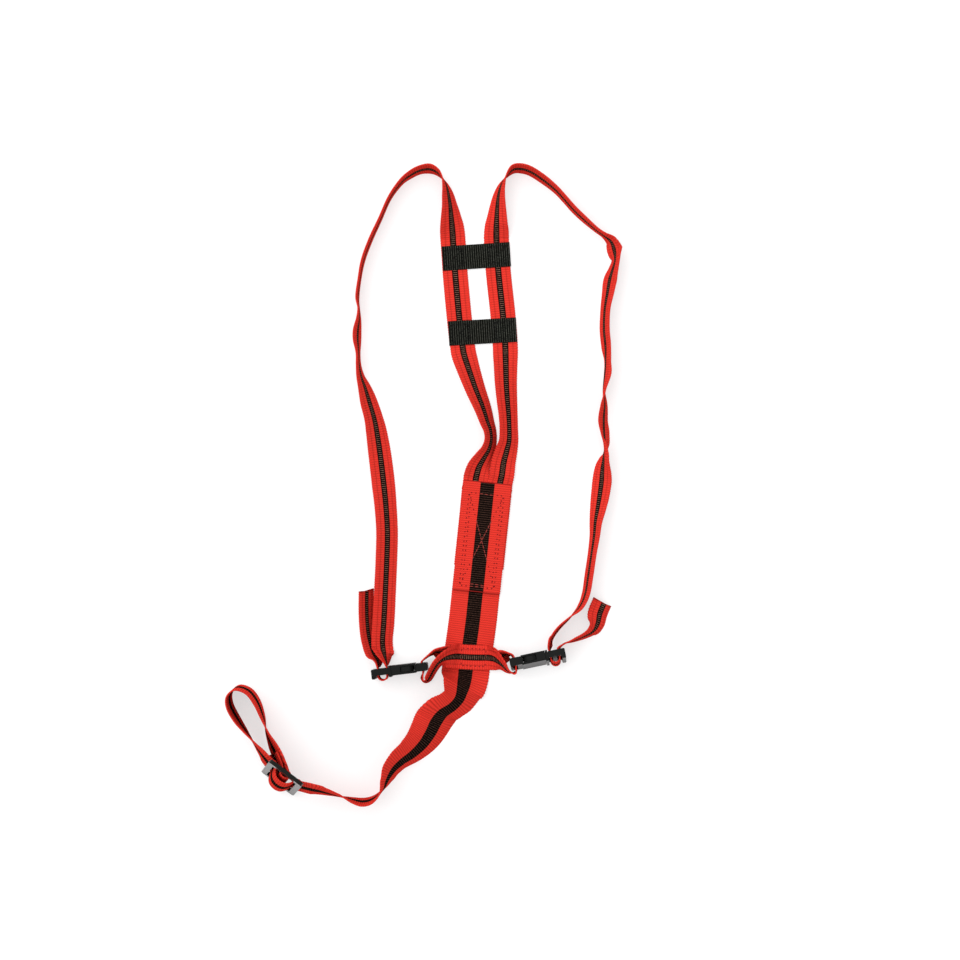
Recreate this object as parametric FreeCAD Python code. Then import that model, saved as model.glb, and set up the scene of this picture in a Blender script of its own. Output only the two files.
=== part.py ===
import FreeCAD, Part
import math
import os

from FreeCAD import Placement, Rotation, Vector

# Safety harness laid on its back on a flat surface: +Z is up, +Y runs from the yoke towards the
# shoulders, +X to the right. The origin is the middle of the yoke, on the surface. Millimetres.

# Webbing
NARROW_W = 24.5            # shoulder, waist and bridge webbing
NARROW_T = 1.5
BRIDGE_T = 1.3
WIDE_W = 48.0              # back strap and yoke cover
WIDE_T = 1.6
SPLIT_GAP = 0.1            # between the two shoulder straps where they lie side by side
PLY_GAP = 0.05             # between layers of webbing sewn on top of each other

# Yoke: back strap below, two shoulder strap ends side by side, cover patch on top
YOKE_TILT = -6.1           # its upper end leans to the right
COVER_LENGTH = 110.0
SHOULDER_INSET = 85.0      # how far each shoulder strap runs down under the cover
BACK_TOP = 47.0            # upper end of the back strap, measured from the yoke's middle

# Bridge straps between the shoulder straps
BRIDGE_LENGTH = 68.0
UPPER_BRIDGE = (-5.7, 280.3, 3.8)      # middle x, y and tilt
LOWER_BRIDGE = (0.6, 205.2, 3.3)

# Thread
THREAD_W = 0.7
THREAD_H = 0.3
SEAM_INSET = 3.0           # from the edge of narrow webbing to its stitches
WIDE_SEAM_INSET = 6.5      # the same at the yoke
YOKE_SEAM_ENDS = (5.0, 12.0)           # from the cover's lower and upper end
WAIST_SEAM = (-8.5, -120.0, -3.0)      # middle x, y and tilt
WAIST_SEAM_LENGTH = 24.0
END_SEAM_INSET = 4.0

# Side-release buckle, in its own frame: x from the plug's outer bar to the socket's end bar,
# y through its thickness, z across its width
BUCKLE_LENGTH = 55.6
BUCKLE_HALF_W = 16.5
PART_GAP = 0.3             # running clearance between moulded parts
CUT_OVER = 1.0             # how far an opening is cut past the face it opens
SLOT_PLAY = 0.6            # on each side of the webbing in a slot
PLUG_HALF_T = 3.2
PLUG_CORNER = 1.2
LADDER_LENGTH = 17.2       # from the outer bar to the shoulder that meets the socket
OUTER_BAR = 4.0
GRIP_BAR = (8.4, 12.8)     # bar that the webbing turns round
FOOT_DEPTH = 6.6           # how far the outer bar reaches back
SHOULDER_T = 2.4
SHOULDER_LIP = 1.2         # how far the shoulder reaches back past the socket
TONGUE_HALF_T = 1.6
TONGUE_HALF_W = 3.4
CHEEK_HALF_W = 6.4
SOCKET_HALF_T = 4.9
SOCKET_CORNER = 1.4
SOCKET_WALL = 2.5
CAVITY_HALF_T = 2.9
WINDOW_LENGTH = 14.0
WINDOW_CORNER = 1.0
WINDOW_WALL = 5.7          # between the windows and the end slot
END_SLOT_LENGTH = 4.1
END_BAR = 3.0
END_HALF_T = 4.0
END_INSET = 1.0            # each side of the end is this much narrower than the socket
END_CORNER = 1.6
PRONG_HALF_T = 2.5
PRONG_PIVOT_Z = 9.4
PRONG_HUB = 1.8
LEFT_BUCKLE = (-58.8, -128.1, 6.8, 4.0)       # end slot's x, y, heading and lean
RIGHT_BUCKLE = (32.9, -125.2, 191.8, 14.0)

# Tri-glide adjuster for the wide strap, in its own frame: x along the strap, z across it
GLIDE_LENGTH = 40.0
GLIDE_WIDTH = 62.0
GLIDE_T = 4.0
GLIDE_BAR = 6.0
GLIDE_CORNER = 4.0
GLIDE_MIDDLE = (-196.9, -236.2)
GLIDE_HEADING = -37.1
GLIDE_LEAN = 21.5

# Lofted webbing is cut into sections by these limits
SECTION_STEP = 24.0
SECTION_TURN = 10.0
FLAT_LIMIT = 1e-7

FLOOR_GAP = 0.1

os.makedirs("parts", exist_ok=True)


class Station:
    """One point of a strap's route: the middle of the webbing and the way its width points."""

    def __init__(self, x, y, roll=0.0, lift=0.0, width=NARROW_W, thick=NARROW_T):
        s = abs(math.sin(math.radians(roll)))
        c = abs(math.cos(math.radians(roll)))
        self.roll = roll
        self.across = None
        self.point = Vector(x, y, lift + s * width / 2 + c * thick / 2)

    @classmethod
    def fixed(cls, placement, x, y, z=0.0):
        """A station given in a fitting's own frame, its width along the fitting's z."""
        station = cls(0, 0)
        station.point = placement.multVec(Vector(x, y, z))
        station.across = placement.Rotation.multVec(Vector(0, 0, 1))
        if station.across.z < 0:
            station.across = station.across * -1
        return station


def wide(x, y, roll=0.0, lift=0.0):
    return Station(x, y, roll, lift, WIDE_W, WIDE_T)


def resolve(stations, sign=1.0):
    """Points and width directions of a route; sign -1 turns the fittings' width downwards."""
    points = [s.point for s in stations]
    last = len(points) - 1
    across = []
    for i, s in enumerate(stations):
        if s.across is not None:
            across.append(s.across * sign)
            continue
        ahead = points[min(i + 1, last)] - points[max(i - 1, 0)]
        heading = math.atan2(ahead.y, ahead.x)
        roll = math.radians(s.roll)
        side = Vector(-math.sin(heading), math.cos(heading), 0)
        across.append(side * math.cos(roll) + Vector(0, 0, math.sin(roll)))
    return points, across


def level_slope(before, after):
    """Slope where two steps in height meet, so that the webbing never dips below either."""
    return 0.0 if before * after <= 0 else 2 * before * after / (before + after)


def spline(values, i, t):
    """Catmull-Rom value between values[i] and values[i + 1], without overshoot in height."""
    last = len(values) - 1
    a = values[max(i - 1, 0)]
    b = values[i]
    c = values[i + 1]
    d = values[min(i + 2, last)]
    slope_b = (c - a) * 0.5
    slope_c = (d - b) * 0.5
    slope_b.z = level_slope(b.z - a.z, c.z - b.z)
    slope_c.z = level_slope(c.z - b.z, d.z - c.z)
    return (
        b * (2 * t**3 - 3 * t**2 + 1)
        + slope_b * (t**3 - 2 * t**2 + t)
        + c * (3 * t**2 - 2 * t**3)
        + slope_c * (t**3 - t**2)
    )


def angle(a, b):
    return math.degrees(a.getAngle(b))


def sections(stations, sign=1.0):
    """Evenly turning sections of a route: point, heading and width direction of each."""
    points, across = resolve(stations, sign)
    samples = []
    for i in range(len(points) - 1):
        chord = points[i + 1] - points[i]
        before = chord if i == 0 else points[i] - points[i - 1]
        after = chord if i + 2 == len(points) else points[i + 2] - points[i + 1]
        turn = angle(before, after) / 2 + angle(across[i], across[i + 1])
        count = max(1, math.ceil(chord.Length / SECTION_STEP), math.ceil(turn / SECTION_TURN))
        for k in range(count):
            t = k / count
            samples.append((spline(points, i, t), spline(across, i, t)))
    samples.append((points[-1], across[-1]))
    out = []
    last = len(samples) - 1
    for i, (point, width_way) in enumerate(samples):
        heading = samples[min(i + 1, last)][0] - samples[max(i - 1, 0)][0]
        heading.normalize()
        width_way = width_way - heading * width_way.dot(heading)
        width_way.normalize()
        out.append((point, heading, width_way))
    return out


def flat_stretch(rings):
    """Part of a strap that lies flat: its outline in plan, extruded through its thickness."""
    outline = [ring[0] for ring in rings] + [ring[1] for ring in reversed(rings)]
    face = Part.Face(Part.makePolygon(outline + outline[:1]))
    return face.extrude(rings[0][3] - rings[0][0])


def webbing(stations, width=NARROW_W, thick=NARROW_T, sign=1.0, skew=(0.0, 0.0)):
    """Closed solid of a strap: ruled between rectangular sections along its route."""
    cuts = sections(stations, sign)
    rings = []
    for i, (point, heading, across) in enumerate(cuts):
        slant = skew[0] if i == 0 else skew[1] if i == len(cuts) - 1 else 0.0
        half = across * (width / 2)
        normal = heading.cross(across)
        normal.normalize()
        lift = normal * (thick / 2)
        shift = heading * (slant / 2)
        rings.append([
            point - half - shift - lift,
            point + half + shift - lift,
            point + half + shift + lift,
            point - half - shift + lift,
        ])
    flat = 0
    while abs(cuts[flat + 1][1].z) + abs(cuts[flat + 1][2].z) < FLAT_LIMIT:
        flat += 1
    solid = Part.makeLoft([Part.makePolygon(ring + ring[:1]) for ring in rings[flat:]], True, True)
    if flat > 0:
        solid = flat_stretch(rings[:flat + 1]).fuse(solid)
    length = sum((b[0] - a[0]).Length for a, b in zip(cuts, cuts[1:]))
    print("  route %.0f mm, volume over section x length %.3f"
          % (length, solid.Volume / (width * thick * length)))
    return solid


def box(x0, x1, y0, y1, z0, z1):
    return Part.makeBox(x1 - x0, y1 - y0, z1 - z0, Vector(x0, y0, z0))


def round_along(solid, axis, radius):
    """Round the straight edges of a solid that run along one axis."""
    edges = [e for e in solid.Edges if abs(abs(e.tangentAt(e.FirstParameter).dot(axis)) - 1) < 1e-6]
    return solid.makeFillet(radius, edges)


def placed(solid, placement):
    out = solid.copy()
    out.Placement = placement.multiply(out.Placement)
    return out


def save(name, shape):
    solids = shape.Solids
    lowest = shape.BoundBox.ZMin
    print("%-28s solids %d valid %s lowest %.2f" % (name, len(solids), shape.isValid(), lowest))
    shape.exportStep("parts/%s.step" % name)


def yoke_place(lift=0.0):
    return Placement(Vector(0, 0, lift), Rotation(Vector(0, 0, 1), YOKE_TILT))


def yoke_xy(across, along):
    point = yoke_place().multVec(Vector(across, along, 0))
    return point.x, point.y


def past_cover(x, y):
    """Point in plan given from the middle of the cover's upper end."""
    end = yoke_xy(0, COVER_LENGTH / 2)
    return end[0] + x, end[1] + y


def fitting_place(x, y, heading, lean, flip, height, back=0.0):
    """Placement of a fitting that stands on edge; flip turns it over about its own length.

    x and y give the point that lies the distance back along the fitting from its frame's origin.
    """
    turn = Rotation(Vector(0, 0, 1), heading)
    roll = Rotation(Vector(1, 0, 0), (180.0 + lean) if flip else -lean)
    origin = Vector(x, y, height) - turn.multVec(Vector(back, 0, 0))
    return Placement(origin, turn.multiply(roll))


def standing_height(half_width, half_thick, lean):
    a = math.radians(abs(lean))
    return FLOOR_GAP + half_width * math.cos(a) + half_thick * math.sin(a)


# Places along a buckle
MOUTH_X = LADDER_LENGTH + SHOULDER_T
END_SLOT = (BUCKLE_LENGTH - END_BAR - END_SLOT_LENGTH, BUCKLE_LENGTH - END_BAR)
WINDOW = (END_SLOT[0] - WINDOW_WALL - WINDOW_LENGTH, END_SLOT[0] - WINDOW_WALL)
SLOT_MIDDLE_X = sum(END_SLOT) / 2
SLOT_HALF = NARROW_W / 2 + SLOT_PLAY
CAVITY_HALF = BUCKLE_HALF_W - SOCKET_WALL
INNER_SLOT_X = (GRIP_BAR[1] + LADDER_LENGTH) / 2
OUTER_SLOT_X = (OUTER_BAR + GRIP_BAR[0]) / 2
PRONG_PIVOT = (MOUTH_X + 0.4, PRONG_PIVOT_Z)
PAD_START = WINDOW[0] + 2 * PART_GAP

LEFT_PLACE = fitting_place(
    *LEFT_BUCKLE, False, standing_height(BUCKLE_HALF_W, FOOT_DEPTH, LEFT_BUCKLE[3]), SLOT_MIDDLE_X)
RIGHT_PLACE = fitting_place(
    *RIGHT_BUCKLE, True, standing_height(BUCKLE_HALF_W, FOOT_DEPTH, RIGHT_BUCKLE[3]), SLOT_MIDDLE_X)
GLIDE_PLACE = fitting_place(
    *GLIDE_MIDDLE, GLIDE_HEADING, GLIDE_LEAN, False,
    standing_height(GLIDE_WIDTH / 2, GLIDE_T / 2, GLIDE_LEAN))

# Lift that keeps narrow webbing level with a buckle's slots
LEFT_LIFT = LEFT_PLACE.Base.z - NARROW_W / 2
RIGHT_LIFT = RIGHT_PLACE.Base.z - NARROW_W / 2

# The webbing's turn round the plug's grip bar
TURN_R = (INNER_SLOT_X - OUTER_SLOT_X) / 2
TURN_X = (INNER_SLOT_X + OUTER_SLOT_X) / 2
TURN_Y = -4.0
TURN_STEP = 30
SLOT_APPROACH = (5.0, 1.0)             # stations on the way into and out of the slots


def by_plug(place, heading, x, y):
    """Point in plan given from a plug's inner slot, x along the buckle."""
    slot = place.multVec(Vector(INNER_SLOT_X, 0, 0))
    point = slot + Rotation(Vector(0, 0, 1), heading).multVec(Vector(x, y, 0))
    return point.x, point.y


def ladder_lock_route(place):
    """Down through the plug's inner slot, round its grip bar and out of the outer slot."""
    route = [Station.fixed(place, INNER_SLOT_X, y) for y in SLOT_APPROACH]
    for step in range(0, 181, TURN_STEP):
        a = math.radians(step)
        route.append(Station.fixed(
            place, TURN_X + TURN_R * math.cos(a), TURN_Y - TURN_R * math.sin(a)))
    return route + [Station.fixed(place, OUTER_SLOT_X, y) for y in reversed(SLOT_APPROACH)]


# --- Yoke and back strap -------------------------------------------------------------------

# Lower back strap, from the yoke down to the adjuster: it rolls up onto its edge on the way
BACK_ROUTE = [
    wide(*yoke_xy(-1.2, BACK_TOP)),
    wide(*yoke_xy(-0.4, 0.0)),
    wide(-7.0, -63.0),
    wide(-9.4, -85.0),
    wide(-12.6, -108.0),
    wide(-15.4, -126.0),
    wide(-16.4, -134.0),
    wide(-17.4, -141.0, -11.0, 0.15),
    wide(-19.8, -150.5, -34.0),
    wide(-23.2, -160.2, -44.0),
    wide(-30.4, -167.4, -46.0),
    wide(-39.8, -173.6, -42.0),
    wide(-46.4, -182.4, -35.0),
    wide(-52.2, -193.2, -39.0),
    wide(-59.8, -204.0, -46.0),
    wide(-69.6, -213.2, -53.0),
    wide(-80.2, -220.7, -60.0),
    wide(-88.6, -229.1, -67.0),
    wide(-94.1, -239.0, -76.0),
    wide(-98.8, -250.1, -86.0),
    wide(-107.5, -258.6, -90.0),
    wide(-117.5, -261.3, -90.0),
    wide(-128.4, -259.2, -86.0),
    wide(-138.3, -256.0, -80.0, 0.6),
    wide(-147.6, -253.0, -76.0, 2.0),
    wide(-158.5, -249.8, -72.0, 4.0),
    wide(-168.5, -247.4, -69.0, 6.0),
]

# In the adjuster's own frame: from the outer bar's back over the middle bar's front
GLIDE_IN = [
    (18.0, 3.5), (14.8, 3.5), (12.3, 2.2), (11.0, -0.6), (9.2, -4.4), (5.5, -7.6), (0.0, -8.8),
    (-5.5, -7.6), (-9.2, -4.4), (-11.0, -0.6), (-12.3, 2.2), (-14.8, 3.5), (-18.0, 3.7),
]
# The end loop in the adjuster's plan, with its roll and lift: it stands on the surface
END_LOOP = [
    (-26.0, 5.4, -71.0, 5.5), (-38.0, 8.5, -77.0, 3.5), (-54.0, 13.0, -84.0, 1.5),
    (-70.0, 18.0, -89.0, 0.5), (-84.0, 24.5, -90.0, 0.5), (-91.0, 33.0, -90.0, 0.5),
    (-89.0, 43.0, -90.0, 0.5),
    (-78.0, 47.0, -90.0, 0.5), (-65.0, 43.5, -90.0, 0.5), (-51.0, 35.0, -93.0, 1.5),
    (-38.0, 25.5, -101.0, 3.2), (-26.0, 19.0, -108.0, 5.4), (-16.0, 14.2, -110.0, 7.0),
]
# The end of the webbing, sewn back round the adjuster's middle bar
GLIDE_END = [
    (-7.5, 8.6), (-1.0, 4.6), (3.4, 3.4), (5.0, 0.6), (4.0, -2.4), (0.0, -3.6), (-4.0, -2.4),
    (-5.0, 0.6), (-6.0, 3.6), (-9.5, 6.6), (-15.5, 10.4), (-21.0, 13.6),
]


def glide_xy(x, y):
    a = math.radians(GLIDE_HEADING)
    return (GLIDE_MIDDLE[0] + x * math.cos(a) - y * math.sin(a),
            GLIDE_MIDDLE[1] + x * math.sin(a) + y * math.cos(a))


back_stations = (
    BACK_ROUTE
    + [Station.fixed(GLIDE_PLACE, x, y) for x, y in GLIDE_IN]
    + [wide(*glide_xy(x, y), roll, lift) for x, y, roll, lift in END_LOOP]
    + [Station.fixed(GLIDE_PLACE, x, y) for x, y in GLIDE_END]
)
save("back_strap", webbing(back_stations, WIDE_W, WIDE_T, sign=-1.0, skew=(4.0, 0.0)))

# Heights of the layers sewn together at the yoke
SHOULDER_LAYER = WIDE_T + PLY_GAP
COVER_LAYER = SHOULDER_LAYER + NARROW_T + PLY_GAP

cover = box(-WIDE_W / 2, WIDE_W / 2, -COVER_LENGTH / 2, COVER_LENGTH / 2, 0, WIDE_T)
save("yoke_cover_patch", placed(cover, yoke_place(COVER_LAYER)))

# Row of stitches across the sewn end of the loop
seam_from, seam_to = [Vector(x, y, 0) for x, y in GLIDE_END[-2:]]
seam_way = (seam_to - seam_from).normalize()
seam_out = Vector(0, 0, 1).cross(seam_way)
seam_half = WIDE_W / 2 - END_SEAM_INSET
end_seam = box(-THREAD_W / 2, THREAD_W / 2, 0, THREAD_H, -seam_half, seam_half)
end_turn = Rotation(seam_way, seam_out, Vector(0, 0, 1), "XYZ")
end_middle = (seam_from + seam_to) * 0.5 + seam_out * (WIDE_T / 2 + PLY_GAP)
save("end_loop_stitching", placed(placed(end_seam, Placement(end_middle, end_turn)), GLIDE_PLACE))

# --- Shoulder straps -----------------------------------------------------------------------

HALF_SPLIT = (NARROW_W + SPLIT_GAP) / 2
INSET_END = COVER_LENGTH / 2 - SHOULDER_INSET

# From the yoke up over the left shoulder and down to the left buckle
LEFT_SHOULDER = [
    Station(*yoke_xy(-HALF_SPLIT, INSET_END), 0, SHOULDER_LAYER),
    Station(*yoke_xy(-HALF_SPLIT, COVER_LENGTH / 2 - 12), 0, SHOULDER_LAYER),
    Station(*yoke_xy(-HALF_SPLIT, COVER_LENGTH / 2 - 6), 0, SHOULDER_LAYER),
    Station(*yoke_xy(-HALF_SPLIT, COVER_LENGTH / 2 + 1.5), 0, SHOULDER_LAYER),
    Station(*past_cover(-11.2, 7.3), 8, SHOULDER_LAYER),
    Station(*past_cover(-8.8, 15.8), 27, 1.0),
    Station(*past_cover(-4.2, 24.3), 44, 0.3),
    Station(*past_cover(0.5, 32.8), 56),
    Station(*past_cover(2.8, 42.3), 62),
    Station(*past_cover(2.1, 51.3), 61),
    Station(*past_cover(-0.9, 60.3), 56),
    Station(*past_cover(-5.3, 74.3), 48),
    Station(-6.5, 147.0, 38),
    Station(-13.4, 167.0, 25),
    Station(-17.7, 181.0, 9),
    Station(-19.2, 189.0),
    Station(-21.2, 205.0),
    Station(-23.5, 227.0),
    Station(-26.7, 262.0),
    Station(-27.9, 281.0),
    Station(-29.0, 296.0),
    Station(-29.3, 301.0, 5),
    Station(-29.9, 307.5, 16),
    Station(-30.8, 316.0, 33),
    Station(-32.3, 330.5, 54),
    Station(-33.9, 340.3, 63),
    Station(-35.8, 348.7, 74),
    Station(-39.0, 356.7, 87),
    Station(-44.2, 363.0, 97),
    Station(-51.7, 366.4, 103),
    Station(-61.7, 365.2, 100),
    Station(-71.6, 360.2, 98),
    Station(-81.0, 352.5, 94),
    Station(-92.0, 337.0, 92),
    Station(-101.4, 316.0, 92),
    Station(-110.8, 295.6, 93),
    Station(-118.3, 275.0, 93),
    Station(-121.9, 255.8, 92),
    Station(-123.9, 238.5, 93),
    Station(-122.5, 227.0, 90),
    Station(-122.6, 217.0, 96),
    Station(-124.0, 206.0, 104),
    Station(-124.2, 196.0, 104),
    Station(-123.2, 183.0, 95),
    Station(-122.6, 171.0, 97),
    Station(-120.6, 159.5, 105),
    Station(-116.8, 148.4, 117),
    Station(-112.6, 134.5, 129),
    Station(-108.0, 119.0, 134),
    Station(-105.0, 104.0, 143),
    Station(-101.5, 80.0, 152),
    Station(-98.5, 55.0, 154),
    Station(-96.0, 30.0, 148),
    Station(-94.6, 5.0, 146),
    Station(-95.3, -24.0, 146),
    Station(-96.7, -55.0, 147),
    Station(-98.2, -84.0, 148),
    Station(-99.4, -100.0, 145),
    Station(*by_plug(LEFT_PLACE, LEFT_BUCKLE[2], -2.3, 23.7), 143, 0.4),
    Station(*by_plug(LEFT_PLACE, LEFT_BUCKLE[2], -1.7, 16.4), 123, LEFT_LIFT - 2.2),
]

# Free end of the left strap, cut and sealed
LEFT_TAIL = [
    Station(*by_plug(LEFT_PLACE, LEFT_BUCKLE[2], -9.2, 11.9), 70, LEFT_LIFT - 2.2),
    Station(-108.4, -114.5, 58, 1.2),
    Station(-111.6, -105.0, 57, 0.3),
    Station(-114.0, -93.0, 58),
    Station(-115.2, -75.0, 58),
    Station(-115.1, -53.0, 58),
]
left_stations = LEFT_SHOULDER + ladder_lock_route(LEFT_PLACE) + LEFT_TAIL
save("left_shoulder_strap", webbing(left_stations, skew=(0.0, -3.5)))

# From the yoke up over the right shoulder and down to the right buckle
RIGHT_SHOULDER = [
    Station(*yoke_xy(HALF_SPLIT, INSET_END), 0, SHOULDER_LAYER),
    Station(*yoke_xy(HALF_SPLIT, COVER_LENGTH / 2 - 12), 0, SHOULDER_LAYER),
    Station(*yoke_xy(HALF_SPLIT, COVER_LENGTH / 2 - 6), 0, SHOULDER_LAYER),
    Station(*yoke_xy(HALF_SPLIT, COVER_LENGTH / 2 + 1.5), 0, SHOULDER_LAYER),
    Station(*past_cover(14.0, 7.8), 3, 3.6),
    Station(*past_cover(15.7, 20.3), 15, 2.4),
    Station(*past_cover(18.8, 32.8), 30, 1.0),
    Station(*past_cover(20.8, 42.3), 40, 0.3),
    Station(*past_cover(20.8, 55.3), 43),
    Station(*past_cover(20.2, 67.3), 41),
    Station(*past_cover(19.0, 82.3), 35),
    Station(23.8, 154.0, 28),
    Station(23.5, 171.0, 20),
    Station(23.4, 182.0, 8),
    Station(23.3, 190.0),
    Station(22.4, 205.0),
    Station(20.4, 227.0),
    Station(16.8, 260.0),
    Station(15.2, 281.0),
    Station(14.5, 296.0),
    Station(14.4, 301.0, -5),
    Station(14.6, 307.5, -17),
    Station(15.0, 316.0, -35),
    Station(15.9, 330.5, -53),
    Station(17.2, 341.0, -64),
    Station(19.9, 351.0, -76),
    Station(24.5, 359.5, -90),
    Station(30.8, 365.9, -101),
    Station(38.7, 366.7, -103),
    Station(48.5, 363.8, -102),
    Station(61.8, 355.2, -101),
    Station(73.8, 345.3, -98),
    Station(83.0, 335.4, -97),
    Station(91.9, 325.4, -97),
    Station(102.4, 315.5, -96),
    Station(113.6, 305.8, -93),
    Station(121.0, 300.5, -94),
    Station(128.5, 294.5, -108),
    Station(132.0, 286.0, -122),
    Station(133.0, 276.5, -104),
    Station(130.6, 266.5, -109),
    Station(127.5, 256.0, -118),
    Station(125.3, 243.0, -114),
    Station(122.6, 226.0, -108),
    Station(121.9, 207.0, -108),
    Station(123.4, 190.0, -107),
    Station(124.0, 176.0, -100),
    Station(123.6, 163.0, -100),
    Station(121.3, 147.0, -90),
    Station(121.3, 132.0, -73),
    Station(120.3, 117.0, -66),
    Station(121.3, 103.0, -68),
    Station(122.7, 92.0, -80),
    Station(122.4, 84.0, -95),
    Station(121.2, 75.5, -112),
    Station(120.2, 66.0, -128),
    Station(119.4, 55.0, -136),
    Station(117.4, 40.0, -132),
    Station(115.3, 27.5, -124),
    Station(113.2, 15.0, -115),
    Station(112.0, 1.0, -109),
    Station(109.4, -17.0, -105),
    Station(106.3, -38.0, -105),
    Station(103.2, -56.5, -103),
    Station(97.4, -69.5, -97),
    Station(87.4, -79.5, -84),
    Station(76.4, -90.0, -80),
    Station(*by_plug(RIGHT_PLACE, RIGHT_BUCKLE[2], -5.6, -17.7), -80, RIGHT_LIFT - 3.9),
    Station(*by_plug(RIGHT_PLACE, RIGHT_BUCKLE[2], -2.2, -11.2), -78, RIGHT_LIFT - 1.9),
]

# Free end of the right strap: it turns up and opens towards its cut end
RIGHT_TAIL = [
    Station(*by_plug(RIGHT_PLACE, RIGHT_BUCKLE[2], -16.2, -9.3), -94, RIGHT_LIFT - 2.9),
    Station(*by_plug(RIGHT_PLACE, RIGHT_BUCKLE[2], -26.1, -10.8), -101, 1.2),
    Station(101.2, -98.0, -107),
    Station(109.2, -93.4, -116),
    Station(114.0, -86.0, -138),
    Station(116.6, -75.4, -150),
    Station(120.9, -65.2, -151),
]
right_stations = RIGHT_SHOULDER + ladder_lock_route(RIGHT_PLACE) + RIGHT_TAIL
save("right_shoulder_strap", webbing(right_stations, sign=-1.0, skew=(0.0, -3.0)))


def bridge(x, y, tilt):
    """Short black strap sewn across both shoulder straps, with its two sewn squares."""
    place = Placement(Vector(x, y, NARROW_T + PLY_GAP), Rotation(Vector(0, 0, 1), tilt))
    half = BRIDGE_LENGTH / 2
    square = NARROW_W - 2 * SEAM_INSET
    strap = box(-half, half, -NARROW_W / 2, NARROW_W / 2, 0, BRIDGE_T)
    seams = [
        seam_box(side * (half - NARROW_W / 2), 0, square, square, True)
        for side in (-1, 1)
    ]
    seams = Part.makeCompound(seams)
    seams.translate(Vector(0, 0, BRIDGE_T))
    return placed(strap, place), placed(seams, place)


def seam(x0, y0, x1, y1):
    """One straight run of stitches lying on z = 0."""
    length = math.hypot(x1 - x0, y1 - y0) + THREAD_W
    run = box(-THREAD_W / 2, length - THREAD_W / 2, -THREAD_W / 2, THREAD_W / 2, 0, THREAD_H)
    heading = math.degrees(math.atan2(y1 - y0, x1 - x0))
    return placed(run, Placement(Vector(x0, y0, 0), Rotation(Vector(0, 0, 1), heading)))


def seam_box(x, y, width, height, crossed):
    """Rectangle of stitches, with its diagonals when crossed, as one solid."""
    a = x - width / 2
    b = x + width / 2
    c = y - height / 2
    d = y + height / 2
    runs = [seam(a, c, b, c), seam(b, c, b, d), seam(b, d, a, d), seam(a, d, a, c)]
    if crossed:
        runs += [seam(a, c, b, d), seam(a, d, b, c)]
    return runs[0].fuse(runs[1:]).removeSplitter()


upper_bridge, upper_seams = bridge(*UPPER_BRIDGE)
save("upper_bridge_strap", upper_bridge)
save("upper_bridge_stitching", upper_seams)
lower_bridge, lower_seams = bridge(*LOWER_BRIDGE)
save("lower_bridge_strap", lower_bridge)
save("lower_bridge_stitching", lower_seams)

# Box of stitches with a cross, through cover, shoulder straps and back strap
seam_low = YOKE_SEAM_ENDS[0] - COVER_LENGTH / 2
seam_high = COVER_LENGTH / 2 - YOKE_SEAM_ENDS[1]
yoke_seam = seam_box(
    0, (seam_low + seam_high) / 2, WIDE_W - 2 * WIDE_SEAM_INSET, seam_high - seam_low, True)
save("yoke_stitching", placed(yoke_seam, yoke_place(COVER_LAYER + WIDE_T)))

# --- Waist strap ---------------------------------------------------------------------------

BACK_LAYER = WIDE_T + PLY_GAP
FRONT_LAYER = BACK_LAYER + NARROW_T + PLY_GAP


def end_slot_route(place, upwards):
    """Through the socket's end slot, from one side of the buckle to the other."""
    points = [(SLOT_MIDDLE_X, y) for y in (5.4, 2.6, 0.0, -2.6, -5.4)]
    if upwards:
        points.reverse()
    return [Station.fixed(place, x, y) for x, y in points]


# One belt of narrow webbing: back layer, left loop, front layer, right loop, back layer
WAIST_ROUTE = (
    [
        Station(-4.0, -120.2, 180, BACK_LAYER),
        Station(-15.0, -119.8, 180, BACK_LAYER),
        Station(-22.0, -119.3, 180, BACK_LAYER),
        Station(-28.0, -118.4, 168, BACK_LAYER),
        Station(-34.0, -116.0, 150, 1.8),
        Station(-40.0, -113.6, 126, 2.8),
        Station(-46.5, -113.4, 106, 3.8),
        Station(-52.5, -117.0, 97, LEFT_LIFT - 0.4),
    ]
    + end_slot_route(LEFT_PLACE, False)
    + [
        Station(-59.4, -140.4, 84, LEFT_LIFT + 0.4),
        Station(-56.6, -142.4, 78, LEFT_LIFT + 0.4),
        Station(-53.5, -140.2, 73, LEFT_LIFT + 0.4),
        Station(-48.9, -131.8, 70, 5.0),
        Station(-43.6, -124.2, 66, 5.6),
        Station(-37.0, -119.8, 52, 5.4),
        Station(-30.0, -118.6, 26, 4.4),
        Station(-22.5, -119.2, 0, FRONT_LAYER),
        Station(-15.0, -119.8, 0, FRONT_LAYER),
        Station(-4.0, -120.2, 0, FRONT_LAYER),
        Station(5.0, -120.2, 0, FRONT_LAYER),
        Station(11.4, -120.6, 28, 3.6),
        Station(16.0, -122.8, 52, 4.2),
        Station(20.4, -126.4, 67, 5.2),
        Station(24.8, -131.0, 76, RIGHT_LIFT + 0.8),
        Station(29.0, -133.6, 84, RIGHT_LIFT + 1.5),
        Station(33.0, -133.6, 90, RIGHT_LIFT + 1.8),
    ]
    + end_slot_route(RIGHT_PLACE, True)
    + [
        Station(28.8, -116.2, 97, RIGHT_LIFT - 1.7),
        Station(22.6, -115.8, 114, 3.4),
        Station(16.5, -118.2, 138, 2.2),
        Station(10.5, -119.4, 162, BACK_LAYER),
        Station(5.0, -120.2, 180, BACK_LAYER),
        Station(-2.0, -120.2, 180, BACK_LAYER),
    ]
)
save("waist_strap", webbing(WAIST_ROUTE))

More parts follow.
